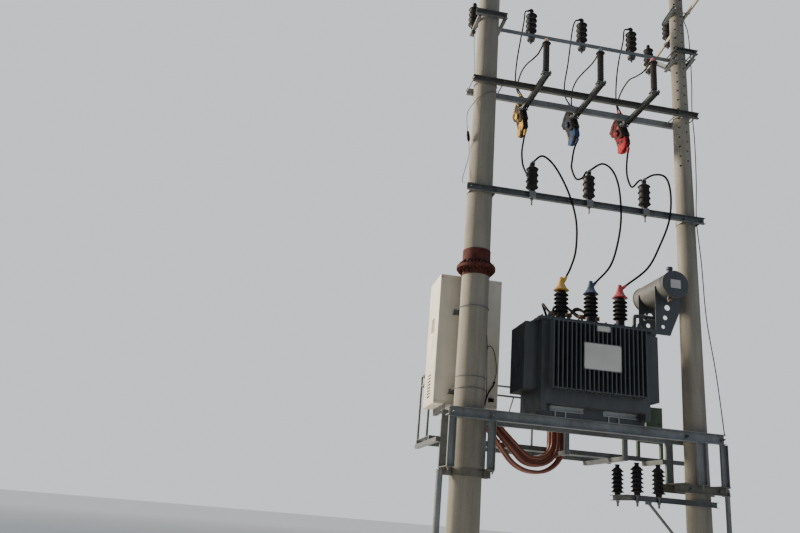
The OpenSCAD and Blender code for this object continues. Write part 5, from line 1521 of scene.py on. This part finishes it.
class TRANSFORMER_OT_low_parts(bpy.types.Operator):
    """Low arm's insulators, the service box's door and the down pipes"""
    bl_idname = "transformer.low_parts"
    bl_label = "Low arm, box and pipes"

    def execute(self, context):
        size = context.scene.transformer_sizes.bolt_r
        arm_y = right_r(2.0) + FIT
        profile = [(0.031, 0), (0.034, 0.003), (0.034, 0.022), (0.038, 0.026)]
        shed = [(0.049, 0.003), (0.068, 0.006), (0.072, 0.010), (0.069, 0.015), (0.056, 0.024), (0.048, 0.034)]
        profile += sheds(shed, 0.026, 0.046, 6)
        profile += [(0.038, 0.301), (0.030, 0.304), (0.024, 0.312), (0.024, 0.326), (0.030, 0.332),
                    (0.029, 0.340), (0.022, 0.342)]
        spots = [at(x, y, 2.060) for x, y in ((2.140, -arm_y - 0.022), (1.888, -arm_y - 0.022), (1.862, 0.260))]
        present(repeated(turned(profile, 32), spots), "Low_insulator_bodies", "polymer",
                ["low_insulators"], smooth=42)
        nut = moved(bolt(size * 1.2, 0.004), at(0, 0, -0.060, DOWN))
        present(repeated(joined([stud(-0.120, 0.002), nut]), spots), "Low_insulator_studs", "zinc",
                smooth=30)

        door = block((2.404, 0.556, 2.776), (2.588, 0.5605, 3.138), 0.003, 2)
        barrel = [(0.004, -0.02), (0.006, -0.018), (0.006, 0.018), (0.004, 0.02)]
        hinges = [stand(barrel, 12, 2.402, 0.556, z) for z in (2.83, 3.08)]
        latch = stand([(0.010, 0), (0.011, 0.002), (0.011, 0.010), (0.007, 0.012)], 14, 2.568, 0.556, 2.955,
                      FRONT)
        hood = block((2.386, 0.552, 3.148), (2.606, 0.652, 3.156), 0.002)
        present(joined([door, *hinges, latch, hood]), "Service_box_door", "green", smooth=30)

        pipes = []
        for x, y, r, sides, top, heights in DOWN_PIPES:
            tube = [(r - 0.004, 0), (r - 0.002, 0.002), (r - 0.002, top - 0.002), (r - 0.005, top)]
            band = [(r - 0.002, -0.03), (r, -0.028), (r, 0.0), (r - 0.002, 0.002)]
            pipes += [stand(tube, sides, x, y, 0), *[stand(band, 36, x, y, z) for z in heights]]
        present(joined(pipes), "Down_pipe_tubes", "steel", ["down_pipes"], smooth=40)
        return {"FINISHED"}


# Earth wires: radius and points
EARTH_WIRES = (
    (0.0035, [(-0.165, -0.110, 7.868), (-0.182, -0.110, 7.700), (-0.205, -0.100, 7.560), (-0.201, -0.100, 7.428),
              (-0.185, -0.100, 7.221), (-0.180, -0.115, 7.030), (-0.183, -0.140, 6.958)]),
    (0.0045, [(0.148, -0.060, 6.850), (0.120, -0.098, 6.812), (0.052, -0.145, 6.776), (0.0, -0.151, 6.745),
              (-0.050, -0.145, 6.713), (-0.114, -0.106, 6.669), (-0.155, -0.060, 6.620), (-0.200, -0.060, 6.539),
              (-0.228, -0.060, 6.462), (-0.229, -0.060, 6.335), (-0.212, -0.060, 6.215)]),
    (0.0045, [(-0.186, -0.040, 6.080), (-0.168, -0.010, 6.000), (-0.166, 0.010, 5.880), (-0.208, 0.0, 5.690),
              (-0.233, -0.020, 5.564), (-0.232, -0.070, 5.490), (-0.205, -0.150, 5.470)]),
    (0.0065, [(2.796, -0.030, 8.500), (2.856, -0.030, 8.250), (2.868, -0.030, 7.600), (2.850, -0.030, 7.050),
              (2.866, -0.030, 6.600), (2.858, -0.030, 6.000), (2.834, -0.030, 5.480), (2.872, -0.030, 4.900),
              (2.880, -0.060, 4.200), (2.930, -0.120, 3.500), (2.950, -0.185, 2.800)]))
EARTH_JOINT = [(0.006, -0.002), (0.012, 0.006), (0.020, 0.030), (0.021, 0.090), (0.016, 0.100),
               (0.016, 0.130), (0.008, 0.136)]


class TRANSFORMER_OT_wires(bpy.types.Operator):
    """Thin earth wires and straps that lie on the poles"""
    bl_idname = "transformer.wires"
    bl_label = "Earth wires"

    def execute(self, context):
        wires = [pipe(smooth_route(points, 5), radius, 2) for radius, points in EARTH_WIRES]
        present(joined(wires), "Earth_wires", "dark_steel")
        joint = moved(turned(EARTH_JOINT, 16), along((-0.186, -0.042, 6.078), (-0.212, -0.060, 6.215)))
        present(joint, "Earth_wire_connector", "cable")
        straps = [hoop(left_r(z) + 0.0035, 0.0045, 80, z, tilt) for z, tilt in ((6.915, 0.04), (3.158, 0.02))]
        present(joined(straps), "Pole_wire_straps", "dark_steel")
        return {"FINISHED"}


FLOOR_RADIUS = 160
# Area lights: name, place, what it is aimed at, size, power in watts and colour
LIGHTS = (("Key", (-11.5, 7.0, 9.5), (1.0, 0, 4.5), 4, 6600, (1.0, 0.87, 0.68)),
          ("Fill", (9, -9, 6), (1.3, 0, 4.5), 9, 130, (0.78, 0.86, 1.0)),
          ("Sky", (1.5, 1, 15), (1.3, 0, 4), 9, 380, (0.88, 0.93, 1.0)))


def floor_finish():
    """Pale ground that glows a little, and towards the horizon more where the camera sees it."""
    look = Finish("Pale_floor")
    tone = look.mix(look.uneven(0.4, 3), (0.70, 0.70, 0.685), (0.74, 0.74, 0.725))
    look.join(tone, look.shader.inputs["Emission Color"])
    far, seen = look.node("ShaderNodeVectorMath"), look.node("ShaderNodeLightPath")
    far.operation = "LENGTH"
    look.join(look.node("ShaderNodeNewGeometry").outputs["Position"], far.inputs[0])
    glow = look.math("MULTIPLY", seen.outputs["Is Camera Ray"], look.band(far.outputs["Value"], 9, 60, 0, 0.42))
    look.join(look.math("ADD", glow, 0.12), look.shader.inputs["Emission Strength"])
    return look.done(tone, 0.9)


def studio_world():
    """A soft sky for the light, and a pale wall where the camera looks past the floor."""
    world = bpy.data.worlds.new("Studio")
    world.use_nodes = True
    tree = world.node_tree
    soft, wall = tree.nodes["Background"], tree.nodes.new("ShaderNodeBackground")
    for background, colour, strength in ((soft, (0.70, 0.79, 0.90, 1), 0.33), (wall, (0.84, 0.87, 0.90, 1), 1.0)):
        background.inputs["Color"].default_value = colour
        background.inputs["Strength"].default_value = strength
    seen, both = tree.nodes.new("ShaderNodeLightPath"), tree.nodes.new("ShaderNodeMixShader")
    surface = tree.nodes["World Output"].inputs["Surface"]
    for source, socket in ((seen.outputs["Is Camera Ray"], both.inputs[0]), (soft.outputs[0], both.inputs[1]),
                           (wall.outputs[0], both.inputs[2]), (both.outputs[0], surface)):
        tree.links.new(source, socket)
    return world


class TRANSFORMER_OT_stage(bpy.types.Operator):
    """Lays the plain floor and sets the soft lights"""
    bl_idname = "transformer.stage"
    bl_label = "Floor and lights"

    def execute(self, context):
        deselect()
        bpy.ops.mesh.primitive_circle_add(vertices=96, radius=FLOOR_RADIUS, fill_type="NGON",
                                          location=(1.3, 0, -0.002))
        floor = settle(bpy.context.object)
        floor.name = "Floor"
        floor.data.materials.append(floor_finish())
        context.scene.world = studio_world()
        for name, place, aim, size, power, colour in LIGHTS:
            light = bpy.data.lights.new(name, "AREA")
            light.size, light.energy, light.color = size, power, colour
            lamp = bpy.data.objects.new(name, light)
            lamp.location = place
            lamp.rotation_euler = (Vector(aim) - Vector(place)).to_track_quat("-Z", "Y").to_euler()
            context.scene.collection.objects.link(lamp)
        return {"FINISHED"}


OPERATORS = [TRANSFORMER_OT_camera, TRANSFORMER_OT_finishes, TRANSFORMER_OT_poles, TRANSFORMER_OT_joint,
             TRANSFORMER_OT_pins, TRANSFORMER_OT_arresters, TRANSFORMER_OT_cutouts, TRANSFORMER_OT_caps,
             TRANSFORMER_OT_bushings, TRANSFORMER_OT_ducts, TRANSFORMER_OT_tank_details, TRANSFORMER_OT_cabinet,
             TRANSFORMER_OT_walkway, TRANSFORMER_OT_low_parts, TRANSFORMER_OT_nuts, TRANSFORMER_OT_wires,
             TRANSFORMER_OT_cords, TRANSFORMER_OT_stage]


GROUPS = {"transformer_sizes": TransformerSizes, "transformer_colours": TransformerColours,
          "transformer_camera": TransformerCamera}


class TRANSFORMER_PT_panel(bpy.types.Panel):
    """Lists the pieces in the sidebar"""
    bl_idname = "TRANSFORMER_PT_panel"
    bl_label = "Pole mounted transformer"
    bl_space_type = "VIEW_3D"
    bl_region_type = "UI"
    bl_category = "Transformer"

    def draw(self, context):
        for name in GROUPS:
            values = getattr(context.scene, name)
            for key in values.__annotations__:
                self.layout.prop(values, key)
        for operator in OPERATORS:
            self.layout.operator(operator.bl_idname)


def register():
    for kind in [*GROUPS.values(), *OPERATORS, TRANSFORMER_PT_panel]:
        bpy.utils.register_class(kind)
    for name, kind in GROUPS.items():
        setattr(bpy.types.Scene, name, bpy.props.PointerProperty(type=kind))


def unregister():
    for name in GROUPS:
        delattr(bpy.types.Scene, name)
    for kind in reversed([*GROUPS.values(), *OPERATORS, TRANSFORMER_PT_panel]):
        bpy.utils.unregister_class(kind)


def main():
    register()
    for operator in OPERATORS:
        group, name = operator.bl_idname.split(".")
        getattr(getattr(bpy.ops, group), name)()


if __name__ == "__main__":
    main()
